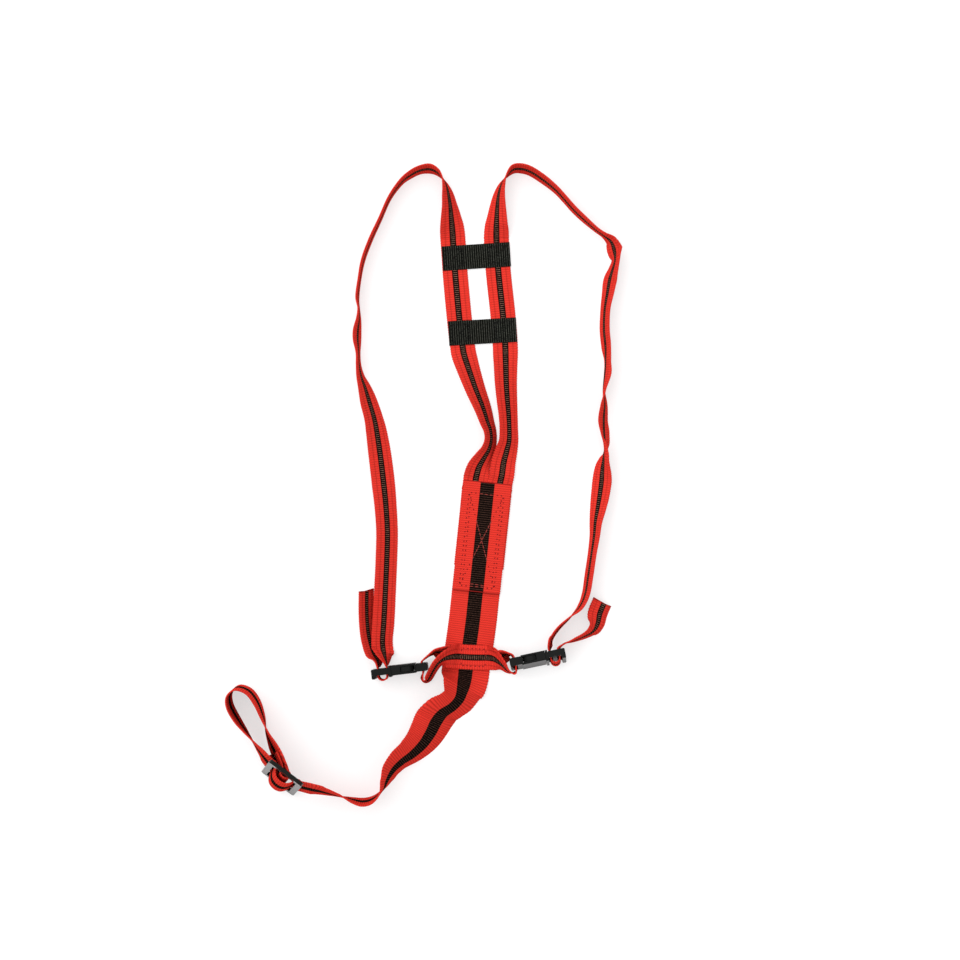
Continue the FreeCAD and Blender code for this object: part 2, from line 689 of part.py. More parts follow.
waist_place = Placement(
    Vector(*WAIST_SEAM[:2], FRONT_LAYER + NARROW_T), Rotation(Vector(0, 0, 1), WAIST_SEAM[2]))
waist_seam = seam_box(0, 0, WAIST_SEAM_LENGTH, NARROW_W - 2 * SEAM_INSET, False)
save("waist_stitching", placed(waist_seam, waist_place))


# --- Buckles -------------------------------------------------------------------------------

def plug():
    """Ladder frame with its three bars, the shoulder that meets the socket, and the tongue."""
    w = BUCKLE_HALF_W
    t = PLUG_HALF_T
    body = box(0, LADDER_LENGTH, -t, t, -w, w)
    body = body.fuse(box(0, OUTER_BAR, -FOOT_DEPTH, t, -w, w))
    body = round_along(body.removeSplitter(), Vector(0, 0, 1), PLUG_CORNER)
    shoulder = box(LADDER_LENGTH, MOUTH_X, -SOCKET_HALF_T - SHOULDER_LIP, SOCKET_HALF_T, -w, w)
    body = body.fuse(round_along(shoulder, Vector(1, 0, 0), SOCKET_CORNER))
    for x0, x1 in ((OUTER_BAR, GRIP_BAR[0]), (GRIP_BAR[1], LADDER_LENGTH)):
        body = body.cut(box(x0, x1, -t - CUT_OVER, t + CUT_OVER, -SLOT_HALF, SLOT_HALF))
    tongue_end = sum(WINDOW) / 2 + 1.8
    body = body.fuse(box(
        LADDER_LENGTH, tongue_end, -TONGUE_HALF_T, TONGUE_HALF_T, -TONGUE_HALF_W, TONGUE_HALF_W))
    # Sockets of the two flexing prongs
    for side in (-1, 1):
        start = Vector(PRONG_PIVOT[0], -SOCKET_HALF_T - CUT_OVER, side * PRONG_PIVOT[1])
        body = body.cut(Part.makeCylinder(
            PRONG_HUB + PART_GAP, 2 * (SOCKET_HALF_T + CUT_OVER), start, Vector(0, 1, 0)))
    body = body.fuse(box(
        MOUTH_X - CUT_OVER, MOUTH_X + 2 * PART_GAP, -TONGUE_HALF_T, TONGUE_HALF_T,
        -CHEEK_HALF_W, CHEEK_HALF_W))
    return body.removeSplitter()


def prong(side):
    """One flexing arm: hub, arm, catch shoulder and the press pad that shows in the window."""
    px, pz = PRONG_PIVOT
    tip = WINDOW[1]
    pad = BUCKLE_HALF_W - PART_GAP
    outline = [
        (px, pz + PRONG_HUB), (PAD_START, 12.0), (PAD_START, pad - 1.0), (PAD_START + 3.2, pad),
        (tip - 4.7, pad), (tip - 1.6, CAVITY_HALF), (tip - 0.8, 11.2), (tip - 2.2, 9.4),
        (PAD_START + 1.2, 8.4), (px, pz - PRONG_HUB),
    ]
    ring = [Vector(x, -PRONG_HALF_T, side * z) for x, z in outline]
    arm = Part.Face(Part.makePolygon(ring + ring[:1])).extrude(Vector(0, 2 * PRONG_HALF_T, 0))
    hub = Part.makeCylinder(
        PRONG_HUB, 2 * PRONG_HALF_T, Vector(px, -PRONG_HALF_T, side * pz), Vector(0, 1, 0))
    return arm.fuse(hub).removeSplitter()


def socket():
    """Hollow half: mouth, two side windows, and the end bar that the waist strap passes round."""
    w = BUCKLE_HALF_W
    t = SOCKET_HALF_T
    start = MOUTH_X + PART_GAP
    shell = round_along(
        box(start, WINDOW[1] + CUT_OVER, -t, t, -w, w), Vector(1, 0, 0), SOCKET_CORNER)
    end_half = w - END_INSET
    end = round_along(
        box(WINDOW[1], BUCKLE_LENGTH, -END_HALF_T, END_HALF_T, -end_half, end_half),
        Vector(0, 0, 1), END_CORNER)
    body = shell.fuse(end)
    body = body.cut(box(
        start - CUT_OVER, WINDOW[1], -CAVITY_HALF_T, CAVITY_HALF_T, -CAVITY_HALF, CAVITY_HALF))
    for side in (-1, 1):
        low, high = sorted((side * (CAVITY_HALF - CUT_OVER), side * (w + CUT_OVER)))
        window = box(*WINDOW, -CAVITY_HALF_T, CAVITY_HALF_T, low, high)
        body = body.cut(round_along(window, Vector(0, 0, 1), WINDOW_CORNER))
    body = body.cut(box(*END_SLOT, -t - CUT_OVER, t + CUT_OVER, -SLOT_HALF, SLOT_HALF))
    return body.removeSplitter()


for name, place in (("left", LEFT_PLACE), ("right", RIGHT_PLACE)):
    save(name + "_buckle_socket", placed(socket(), place))
    save(name + "_buckle_plug", placed(plug(), place))
    # The prong that faces up when the harness lies flat is the upper one
    up = 1 if place.Rotation.multVec(Vector(0, 0, 1)).z > 0 else -1
    save(name + "_upper_prong", placed(prong(up), place))
    save(name + "_lower_prong", placed(prong(-up), place))


# --- Tri-glide adjuster --------------------------------------------------------------------

def tri_glide():
    """Flat frame with three bars and two slots for the wide strap."""
    half = GLIDE_LENGTH / 2
    body = box(-half, half, -GLIDE_T / 2, GLIDE_T / 2, -GLIDE_WIDTH / 2, GLIDE_WIDTH / 2)
    body = round_along(body, Vector(0, 1, 0), GLIDE_CORNER)
    slot_half = WIDE_W / 2 + SLOT_PLAY
    for side in (-1, 1):
        a, b = sorted((side * GLIDE_BAR / 2, side * (half - GLIDE_BAR)))
        slot = box(a, b, -GLIDE_T, GLIDE_T, -slot_half, slot_half)
        body = body.cut(slot)
    return body


save("tri_glide", placed(tri_glide(), GLIDE_PLACE))
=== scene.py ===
"""Looks of a webbing safety harness laid flat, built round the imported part.

Lengths in the classes below are millimetres and angles are degrees; meshes are made in metres.
"""

import logging
import math
from dataclasses import dataclass, field
from enum import Enum
from typing import Any, Iterable, Sequence

import bpy
from mathutils import Matrix, Vector

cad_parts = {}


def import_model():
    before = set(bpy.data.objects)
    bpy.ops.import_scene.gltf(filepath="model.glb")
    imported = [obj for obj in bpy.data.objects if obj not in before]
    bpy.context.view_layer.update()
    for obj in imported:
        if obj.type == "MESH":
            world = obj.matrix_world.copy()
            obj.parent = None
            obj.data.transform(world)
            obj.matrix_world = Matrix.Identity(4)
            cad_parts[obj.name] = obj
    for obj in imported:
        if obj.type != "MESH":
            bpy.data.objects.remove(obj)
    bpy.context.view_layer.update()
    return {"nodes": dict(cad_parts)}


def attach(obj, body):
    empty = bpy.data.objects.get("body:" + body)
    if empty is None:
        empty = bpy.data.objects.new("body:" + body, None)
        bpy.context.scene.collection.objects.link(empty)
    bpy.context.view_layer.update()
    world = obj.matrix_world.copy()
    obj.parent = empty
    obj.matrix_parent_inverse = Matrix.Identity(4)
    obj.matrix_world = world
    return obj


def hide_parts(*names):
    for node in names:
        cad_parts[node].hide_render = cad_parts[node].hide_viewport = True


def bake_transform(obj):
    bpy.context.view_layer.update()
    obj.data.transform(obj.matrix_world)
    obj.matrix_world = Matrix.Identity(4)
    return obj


LOG = logging.getLogger("harness")
MM = 0.001
Colour = tuple[float, float, float]
Point = tuple[float, float]


def shaded(colour: Colour, amount: float, lift: float = 0.0) -> Colour:
    """The colour made darker or lighter, then lifted towards grey."""
    return tuple(min(1.0, part * amount + lift) for part in colour)


# --- Shader building -----------------------------------------------------------------------


class Value:
    """One number socket, with the arithmetic that adds its Math nodes."""

    def __init__(self, bench: "Bench", socket: bpy.types.NodeSocket) -> None:
        """Wrap a socket of the given bench."""
        self.bench = bench
        self.socket = socket

    def _math(self, operation: str, *terms: Any) -> "Value":
        """Add a Math node.

        Args:
            operation: Blender's name of the operation.
            terms: Values or numbers, in the node's order.

        Returns:
            The node's result.
        """
        inputs = {i: term for i, term in enumerate(terms)}
        return self.bench.node("ShaderNodeMath", {"operation": operation}, inputs)

    def __add__(self, other: Any) -> "Value":
        """Sum."""
        return self._math("ADD", self, other)

    __radd__ = __add__

    def __sub__(self, other: Any) -> "Value":
        """Difference."""
        return self._math("SUBTRACT", self, other)

    def __rsub__(self, other: Any) -> "Value":
        """Difference, with this value taken away."""
        return self._math("SUBTRACT", other, self)

    def __mul__(self, other: Any) -> "Value":
        """Product."""
        return self._math("MULTIPLY", self, other)

    __rmul__ = __mul__

    def __abs__(self) -> "Value":
        """Size without sign."""
        return self._math("ABSOLUTE", self)

    def sine(self) -> "Value":
        """Sine of a value in radians."""
        return self._math("SINE", self)

    def ramp(self, low: float, high: float) -> "Value":
        """Smooth step.

        Args:
            low: Where the step begins, at zero.
            high: Where it ends, at one; smaller than low for a falling step.

        Returns:
            The step's value.
        """
        settings = {"interpolation_type": "SMOOTHSTEP", "clamp": True}
        inputs = {"Value": self, "From Min": low, "From Max": high}
        return self.bench.node("ShaderNodeMapRange", settings, inputs)

    def wave(self, pitch: float, *shifts: "Value") -> "Value":
        """Sine wave between zero and one.

        Args:
            pitch: Length of one wave.
            shifts: Phases added to it, in radians.

        Returns:
            The wave's value.
        """
        phase = self * (2 * math.pi / pitch)
        for shift in shifts:
            phase = phase + shift
        return phase.sine() * 0.5 + 0.5


class Bench:
    """A material's node tree and the one way of adding nodes to it."""

    def __init__(self, name: str) -> None:
        """Start an empty material of this name."""
        self.material = bpy.data.materials.new(name)
        self.material.use_nodes = True
        self.tree = self.material.node_tree
        self.tree.nodes.clear()

    def node(self, kind: str, settings: dict[str, Any] | None = None, inputs: dict[Any, Any] | None = None,
             output: int | str = 0) -> Value:
        """Add one node.

        Args:
            kind: Node type.
            settings: Node properties, set first.
            inputs: Socket name or index to a number, tuple, Value or plain socket.
            output: The output to return.

        Returns:
            The chosen output, wrapped.
        """
        made = self.tree.nodes.new(kind)
        for key, setting in (settings or {}).items():
            setattr(made, key, setting)
        for key, given in (inputs or {}).items():
            if isinstance(given, Value):
                self.tree.links.new(given.socket, made.inputs[key])
            else:
                made.inputs[key].default_value = given
        return Value(self, made.outputs[output] if made.outputs else None)

    def mix(self, share: Value | float, first: Any, second: Any) -> Value:
        """Mix of two colours.

        Args:
            share: Zero for the first, one for the second.
            first: Colour or Value.
            second: Colour or Value.

        Returns:
            The mixed colour.
        """
        inputs = {0: share, 6: self._rgba(first), 7: self._rgba(second)}
        return self.node("ShaderNodeMix", {"data_type": "RGBA"}, inputs, output=2)

    @staticmethod
    def _rgba(colour: Any) -> Any:
        """A plain colour with its alpha; a Value as it is."""
        return colour if isinstance(colour, Value) else (*colour, 1.0)

    def attribute(self, name: str, part: str | None = None) -> Value:
        """Read a mesh attribute.

        Args:
            name: The attribute's name.
            part: X, Y or Z for one number of it, or None for the whole vector.

        Returns:
            The attribute, or that number of it.
        """
        vector = self.node("ShaderNodeAttribute", {"attribute_name": name}, output="Vector")
        if part is None:
            return vector
        return self.node("ShaderNodeSeparateXYZ", inputs={0: vector}, output=part)

    def noise(self, vector: Value, scale: float, detail: float = 2.0, roughness: float = 0.5) -> Value:
        """Noise over a vector.

        Args:
            vector: Where it is read.
            scale: Its scale.
            detail: Octaves.
            roughness: Strength of the fine octaves.

        Returns:
            Noise between zero and one.
        """
        inputs = {"Vector": vector, "Scale": scale, "Detail": detail, "Roughness": roughness}
        return self.node("ShaderNodeTexNoise", inputs=inputs, output=0)

    def finish(self, colour: Any, roughness: Any, height: Value | None = None, strength: float = 1.0,
               distance: float = 0.0002, **others: Any) -> bpy.types.Material:
        """Close the material with one surface shader.

        Args:
            colour: Base colour.
            roughness: Roughness.
            height: Height for the bump, or None.
            strength: The bump's strength.
            distance: The bump's depth in metres.
            others: Other sockets of the shader, with underscores for spaces.

        Returns:
            The finished material.
        """
        inputs: dict[Any, Any] = {"Base Color": self._rgba(colour), "Roughness": roughness}
        for key, given in others.items():
            inputs[key.replace("_", " ")] = given
        if height is not None:
            bump = {"Strength": strength, "Distance": distance, "Height": height}
            inputs["Normal"] = self.node("ShaderNodeBump", inputs=bump)
        surface = self.node("ShaderNodeBsdfPrincipled", inputs=inputs)
        self.node("ShaderNodeOutputMaterial", inputs={"Surface": surface})
        return self.material


# --- Finishes ------------------------------------------------------------------------------


@dataclass(frozen=True)
class Webbing:
    """Woven strap: coloured ground, a stripe along its middle, ribs across it."""

    name: str
    ground: Colour
    stripe: Colour
    stripe_half: float
    rib_pitch: float
    width: float
    rib_light: Colour | None = None
    # Strength of the painted shade in the troughs between the ribs
    rib_trough_shade: float = 0.16
    fleck: Colour | None = None
    fleck_pitch: float = 2.0
    grooves: tuple[float, ...] = ()
    sealed: Colour = (0.26, 0.012, 0.010)
    shine: float = 0.0
    yarn_pitch: float = 0.9
    stripe_blur: float = 0.25

    def make(self) -> bpy.types.Material:
        """Build the material from the strap's weave coordinates.

        Returns:
            The material.
        """
        bench = Bench(self.name)
        across, along, to_end = (bench.attribute("weave", part) for part in "XYZ")
        grain = bench.noise(bench.attribute("weave"), 1.7, 2.0, 0.6)
        side = abs(across)
        # Ribs run across; each yarn column is set half a step from the next
        column = (across * (math.pi / self.yarn_pitch)).sine() * 0.9
        wobble = (grain - 0.5) * 0.9
        rib = along.wave(self.rib_pitch, wobble)
        twill = along.wave(self.rib_pitch, column, wobble)
        in_stripe = side.ramp(self.stripe_half + self.stripe_blur, self.stripe_half - self.stripe_blur)
        ground, groove = self._ground(bench, side, twill)
        stripe = self._stripe(bench, side, rib, along.wave(self.fleck_pitch, wobble), grain)
        colour = bench.mix(in_stripe, ground, stripe)
        edge = side.ramp(self.width / 2 - 0.9, self.width / 2 - 0.2)
        colour = bench.mix(edge * 0.2, colour, shaded(self.ground, 0.45))
        colour = bench.mix(to_end.ramp(1.3, 0.4) * 0.75, colour, self.sealed)
        height = rib * 0.75 + twill * 0.3 + grain * 0.25
        height = height - groove * 0.9 - in_stripe * 0.35
        return bench.finish(colour, 0.66 + 0.2 * grain, height, 0.6, 0.0004, Specular_IOR_Level=self.shine)

    def _ground(self, bench: Bench, side: Value, twill: Value) -> tuple[Value, Value | float]:
        """Colour beside the stripe, with painted shade in the troughs between the ribs and in the grooves.

        Args:
            bench: The material's bench.
            side: Distance from the strap's middle line.
            twill: The weave's wave.

        Returns:
            The colour, and how deep the woven grooves are.
        """
        cloud = bench.noise(bench.attribute("weave"), 0.06, 3.0)
        colour = bench.mix((cloud - 0.5) * 0.9 + 0.5, shaded(self.ground, 0.92), shaded(self.ground, 1.06))
        # Painted shade in the troughs between the ribs
        colour = bench.mix(twill.ramp(0.55, 0.05) * self.rib_trough_shade, colour, shaded(self.ground, 0.35))
        depth: Value | float = 0.0
        for place in self.grooves:
            line = abs(side - place).ramp(0.75, 0.1)
            # Painted shade along each groove, which the bump also sinks
            colour = bench.mix(line * 0.5, colour, shaded(self.ground, 0.35))
            depth = line + depth
        return colour, depth

    def _stripe(self, bench: Bench, side: Value, rib: Value, beat: Value, grain: Value) -> Any:
        """Colour of the stripe, with the ribs or the flecks that catch the light.

        Args:
            bench: The material's bench.
            side: Distance from the strap's middle line.
            rib: The ribs' wave.
            beat: The flecks' wave.
            grain: Fine noise that breaks them up.

        Returns:
            The colour.
        """
        colour: Any = self.stripe
        if self.rib_light is not None:
            colour = bench.mix(rib.ramp(0.5, 0.95) * grain.ramp(0.36, 0.66), colour, self.rib_light)
        if self.fleck is not None:
            fleck = beat.ramp(0.65, 0.95) * side.ramp(2.5, 1.4) * grain.ramp(0.32, 0.62)
            colour = bench.mix(fleck, colour, self.fleck)
        return colour


@dataclass(frozen=True)
class Thread:
    """Sewing thread: twisted, slightly shiny."""

    name: str
    colour: Colour

    def make(self) -> bpy.types.Material:
        """Build the material.

        Returns:
            The material.
        """
        bench = Bench(self.name)
        place = bench.node("ShaderNodeTexCoord", output="Object")
        fibre = bench.noise(place, 1800.0, 2.0)
        patch = bench.noise(place, 90.0, 2.0)
        colour = bench.mix(patch, shaded(self.colour, 0.6), shaded(self.colour, 1.25))
        return bench.finish(colour, 0.6 + 0.25 * fibre, fibre, 0.3, 0.0001, Specular_IOR_Level=0.08)


@dataclass(frozen=True)
class Moulded:
    """Moulded plastic of fittings that stand on edge: polished broad faces, matt narrow ones."""

    name: str
    colour: Colour
    rough: float = 0.4
    shine: float = 0.05
    polish: float = 0.42

    def make(self) -> bpy.types.Material:
        """Build the material.

        Returns:
            The material.
        """
        bench = Bench(self.name)
        place = bench.node("ShaderNodeTexCoord", output="Object")
        grain = bench.noise(place, 2600.0, 2.0)
        flow = bench.noise(place, 120.0, 3.0)
        # Convex edges, found by pointiness, are made lighter and a little smoother
        convex_edges = bench.node("ShaderNodeNewGeometry", output="Pointiness").ramp(0.51, 0.56)
        colour = bench.mix(flow, shaded(self.colour, 0.8), shaded(self.colour, 1.2))
        colour = bench.mix(convex_edges * 0.3, colour, shaded(self.colour, 2.0, 0.006))
        facing = bench.node("ShaderNodeTexCoord", output="Normal")
        broad = abs(bench.node("ShaderNodeSeparateXYZ", inputs={0: facing}, output="Z")).ramp(0.85, 0.5)
        roughness = self.rough + 0.16 * grain - 0.08 * convex_edges
        return bench.finish(colour, roughness, grain, 0.12, 0.0001, Specular_IOR_Level=self.shine,
                            Coat_Weight=broad * self.polish, Coat_Roughness=0.3)


RED: Colour = (0.69, 0.037, 0.025)
NARROW_WEBBING = Webbing("narrow_red_webbing", RED, (0.0035, 0.002, 0.0017), 3.1, 2.4, 24.5, rib_trough_shade=0.5,
                         fleck=(0.27, 0.135, 0.095), grooves=(7.6,))
WIDE_WEBBING = Webbing("wide_red_webbing", RED, (0.0035, 0.002, 0.0017), 7.1, 2.2, 48.0, rib_trough_shade=0.62,
                       rib_light=(0.075, 0.038, 0.028))
BLACK_WEBBING = Webbing("black_webbing", (0.003, 0.0035, 0.0027), (0.003, 0.0035, 0.0027), 12.6, 2.2, 24.5,
                        rib_light=(0.075, 0.078, 0.064), sealed=(0.003, 0.003, 0.0025))
RED_THREAD = Thread("red_thread", (0.27, 0.045, 0.035))
# Thread painted dark as the shade of the needle holes where stitches sink into red webbing
HOLE_SHADE_THREAD = Thread("thread_painted_hole_shade", (0.16, 0.008, 0.010))
BLACK_THREAD = Thread("black_thread", (0.004, 0.004, 0.0035))
BUCKLE_PLASTIC = Moulded("buckle_plastic", (0.003, 0.0033, 0.003))
ADJUSTER_PLASTIC = Moulded("adjuster_plastic", (0.005, 0.0055, 0.0045), polish=0.85)


class Finishes:
    """The finished materials, each built once."""

    def __init__(self) -> None:
        """Start with none built."""
        self._made: dict[str, bpy.types.Material] = {}

    def get(self, finish: Webbing | Thread | Moulded) -> bpy.types.Material:
        """The material of a finish."""
        if finish.name not in self._made:
            self._made[finish.name] = finish.make()
        return self._made[finish.name]


# --- Straps --------------------------------------------------------------------------------


def turned(degrees: float, axis: str = "Z") -> Matrix:
    """Rotation about one of the main axes."""
    return Matrix.Rotation(math.radians(degrees), 4, axis)


def plan_place(x: float, y: float, z: float, heading: float) -> Matrix:
    """Frame at a point, turned about the vertical."""
    return Matrix.Translation((x, y, z)) @ turned(heading)


@dataclass(frozen=True)
class Fitting:
    """Where a moulded fitting stands on edge: a point of it, heading, lean and height.

    The point lies the distance back along the fitting from its frame's origin.
    """

    x: float
    y: float
    heading: float
    lean: float
    flip: bool
    half_width: float
    half_thick: float
    back: float = 0.0
    floor_gap: float = 0.1

    @property
    def height(self) -> float:
        """Height of its middle when its lowest corner rests just above the surface."""
        lean = math.radians(abs(self.lean))
        return self.floor_gap + self.half_width * math.cos(lean) + self.half_thick * math.sin(lean)

    @property
    def matrix(self) -> Matrix:
        """Placement of the fitting's own frame."""
        tilt = 180.0 + self.lean if self.flip else -self.lean
        place = plan_place(self.x, self.y, self.height, self.heading) @ turned(tilt, "X")
        return place @ Matrix.Translation((-self.back, 0, 0))

    def at(self, x: float, y: float) -> Vector:
        """A point given in the fitting's own frame, at half its width."""
        return self.matrix @ Vector((x, y, 0))

    @property
    def width_way(self) -> Vector:
        """The fitting's width direction, pointing up."""
        way = self.matrix.to_3x3() @ Vector((0, 0, 1))
        return way if way.z > 0 else -way


@dataclass(frozen=True)
class Station:
    """One point of a strap's route: its middle, the way its width points, and its crown."""

    x: float
    y: float
    roll: float = 0.0
    lift: float = 0.0
    bend: float = 0.0
    fitting: Fitting | None = None

    def middle(self, width: float, thick: float) -> Vector:
        """Middle of the webbing here.

        Args:
            width: The strap's width.
            thick: Its thickness.

        Returns:
            The point, resting on its lowest edge at the station's lift.
        """
        if self.fitting is not None:
            return self.fitting.at(self.x, self.y)
        roll = math.radians(self.roll)
        rise = abs(math.sin(roll)) * width / 2 + abs(math.cos(roll)) * thick / 2
        return Vector((self.x, self.y, self.lift + rise))


FLAT_ARC = 0.02
NO_END = 99.0
SELVEDGE_FROM = 0.9
SECTION_STEP = 2.2
SECTION_STEPS_MIN = 8


def linked(name: str, vertices: Sequence[Sequence[float]],
           faces: Sequence[tuple[int, ...]]) -> bpy.types.Object:
    """A smooth mesh object in the scene.

    Args:
        name: Piece name.
        vertices: Its points in metres.
        faces: Its faces, as numbers of the points.

    Returns:
        The object.
    """
    data = bpy.data.meshes.new(name)
    data.from_pydata(vertices, [], faces)
    data.update()
    data.shade_smooth()
    piece = bpy.data.objects.new(name, data)
    bpy.context.scene.collection.objects.link(piece)
    return piece


def dress(piece: bpy.types.Object, material: bpy.types.Material) -> bpy.types.Object:
    """Give a piece one material.

    Args:
        piece: The piece.
        material: Its only material from now on.

    Returns:
        The piece.
    """
    piece.data.materials.clear()
    piece.data.materials.append(material)
    return piece


@dataclass(frozen=True)
class Cut:
    """One section of a strap."""

    middle: Vector
    heading: Vector
    across: Vector
    bend: float
    along: float
    station: int


@dataclass
class Ribbon:
    """A strap swept along its stations with rounded, slightly scalloped selvedges."""

    stations: Sequence[Station]
    width: float
    thick: float
    sign: float = 1.0
    skew: tuple[float, float] = (0.0, 0.0)
    step: float = 0.5
    scallop: float = 0.28
    scallop_pitch: float = 2.4

    def _resolve(self) -> tuple[list[Vector], list[Vector]]:
        """Place the stations.

        Returns:
            Their middles and their width directions.
        """
        points = [s.middle(self.width, self.thick) for s in self.stations]
        last = len(points) - 1
        ways = []
        for i, station in enumerate(self.stations):
            if station.fitting is not None:
                ways.append(station.fitting.width_way * self.sign)
                continue
            ahead = points[min(i + 1, last)] - points[max(i - 1, 0)]
            heading = math.atan2(ahead.y, ahead.x)
            roll = math.radians(station.roll)
            side = Vector((-math.sin(heading), math.cos(heading), 0))
            ways.append(side * math.cos(roll) + Vector((0, 0, math.sin(roll))))
        return points, ways

    @staticmethod
    def _slope(before: float, after: float) -> float:
        """Slope that never overshoots in height."""
        return 0.0 if before * after <= 0 else 2 * before * after / (before + after)

    def _spline(self, values: Sequence[Vector], i: int, t: float) -> Vector:
        """Smooth value between two neighbours, without overshoot in height.

        Args:
            values: The values at the stations.
            i: Number of the first neighbour.
            t: Share of the way to the second.

        Returns:
            The value there.
        """
        last = len(values) - 1
        a, b, c, d = values[max(i - 1, 0)], values[i], values[i + 1], values[min(i + 2, last)]
        slope_b = (c - a) * 0.5
        slope_c = (d - b) * 0.5
        slope_b.z = self._slope(b.z - a.z, c.z - b.z)
        slope_c.z = self._slope(c.z - b.z, d.z - c.z)
        return (b * (2 * t**3 - 3 * t**2 + 1) + slope_b * (t**3 - 2 * t**2 + t)
                + c * (3 * t**2 - 2 * t**3) + slope_c * (t**3 - t**2))

    def cuts(self) -> list[Cut]:
        """Cut the strap into sections, evenly spaced between its stations.

        Returns:
            The sections.
        """
        points, ways = self._resolve()
        raw: list[tuple[Vector, Vector, float, int]] = []
        for i in range(len(points) - 1):
            count = max(2, math.ceil((points[i + 1] - points[i]).length / self.step))
            low, high = self.stations[i].bend, self.stations[i + 1].bend
            for k in range(count):
                t = k / count
                ease = t * t * (3 - 2 * t)
                point, way = self._spline(points, i, t), self._spline(ways, i, t)
                raw.append((point, way, low + (high - low) * ease, i))
        raw.append((points[-1], ways[-1], self.stations[-1].bend, len(points) - 1))
        out: list[Cut] = []
        along = 0.0
        last = len(raw) - 1
        for i, (point, way, bend, station) in enumerate(raw):
            heading = (raw[min(i + 1, last)][0] - raw[max(i - 1, 0)][0]).normalized()
            way = (way - heading * way.dot(heading)).normalized()
            if out:
                along += (point - out[-1].middle).length
            out.append(Cut(point, heading, way, bend, along, station))
        return out

    def _ring(self) -> list[tuple[float, float]]:
        """Outline of a flat section.

        Returns:
            Its points as distance across and height, once round.
        """
        half = self.width / 2
        edge = self.thick / 2
        inner = half - edge
        steps = max(SECTION_STEPS_MIN, round(self.width / SECTION_STEP))
        top = [(-inner + 2 * inner * k / steps, edge) for k in range(steps + 1)]
        angles = [math.pi / 5 * k for k in range(1, 5)]
        turn = [(inner + edge * math.sin(a), edge * math.cos(a)) for a in angles]
        bottom = [(-u, -h) for u, h in top]
        back = [(-u, -h) for u, h in turn]
        return top + turn + bottom + back

    def _place(self, cut: Cut, u: float, h: float, slant: float) -> Vector:
        """Where a point of the section lies.

        Args:
            cut: The section.
            u: Distance of the point across the webbing.
            h: Its height over the webbing's middle.
            slant: How far the section is cut askew over its width.

        Returns:
            The point.
        """
        half = self.width / 2
        wave = math.sin(cut.along * 2 * math.pi / self.scallop_pitch) * self.scallop
        selvedge = max(0.0, abs(u) / half - SELVEDGE_FROM) / (1 - SELVEDGE_FROM)
        side = u * (1 + wave / half * selvedge)
        rise = h
        arc = math.radians(cut.bend)
        if abs(arc) > FLAT_ARC:
            radius = self.width / arc
            turn = side / radius
            side = (radius - h) * math.sin(turn)
            rise = radius - (radius - h) * math.cos(turn) - radius * (1 - math.sin(arc / 2) / (arc / 2))
        normal = cut.heading.cross(cut.across).normalized()
        return cut.middle + cut.across * side + normal * rise + cut.heading * (slant * u / self.width)

    def mesh(self, name: str, cuts: Sequence[Cut], start_cut: bool = False,
             end_cut: bool = False) -> bpy.types.Object:
        """Mesh of a run of sections.

        Args:
            name: Piece name.
            cuts: The sections of this piece.
            start_cut: Whether its start is a cut and sealed end.
            end_cut: Whether its end is one.

        Returns:
            The mesh object, with its weave coordinates: across, along and distance to a cut end.
        """
        ring = self._ring()
        size = len(ring)
        vertices: list[tuple[float, float, float]] = []
        weave: list[float] = []
        final = len(cuts) - 1
        for i, cut in enumerate(cuts):
            slant = self.skew[0] if i == 0 else self.skew[1] if i == final else 0.0
            from_start = cut.along - cuts[0].along if start_cut else NO_END
            to_end = cuts[-1].along - cut.along if end_cut else NO_END
            for u, h in ring:
                vertices.append(tuple(self._place(cut, u, h, slant) * MM))
                weave.extend((u, cut.along, min(from_start, to_end)))
        faces = []
        for i in range(final):
            for j in range(size):
                k = (j + 1) % size
                faces.append((i * size + j, i * size + k, (i + 1) * size + k, (i + 1) * size + j))
        faces.append(tuple(reversed(range(size))))
        faces.append(tuple(range(final * size, (final + 1) * size)))
        piece = linked(name, vertices, faces)
        layer = piece.data.attributes.new("weave", "FLOAT_VECTOR", "POINT")
        layer.data.foreach_set("vector", weave)
        return piece


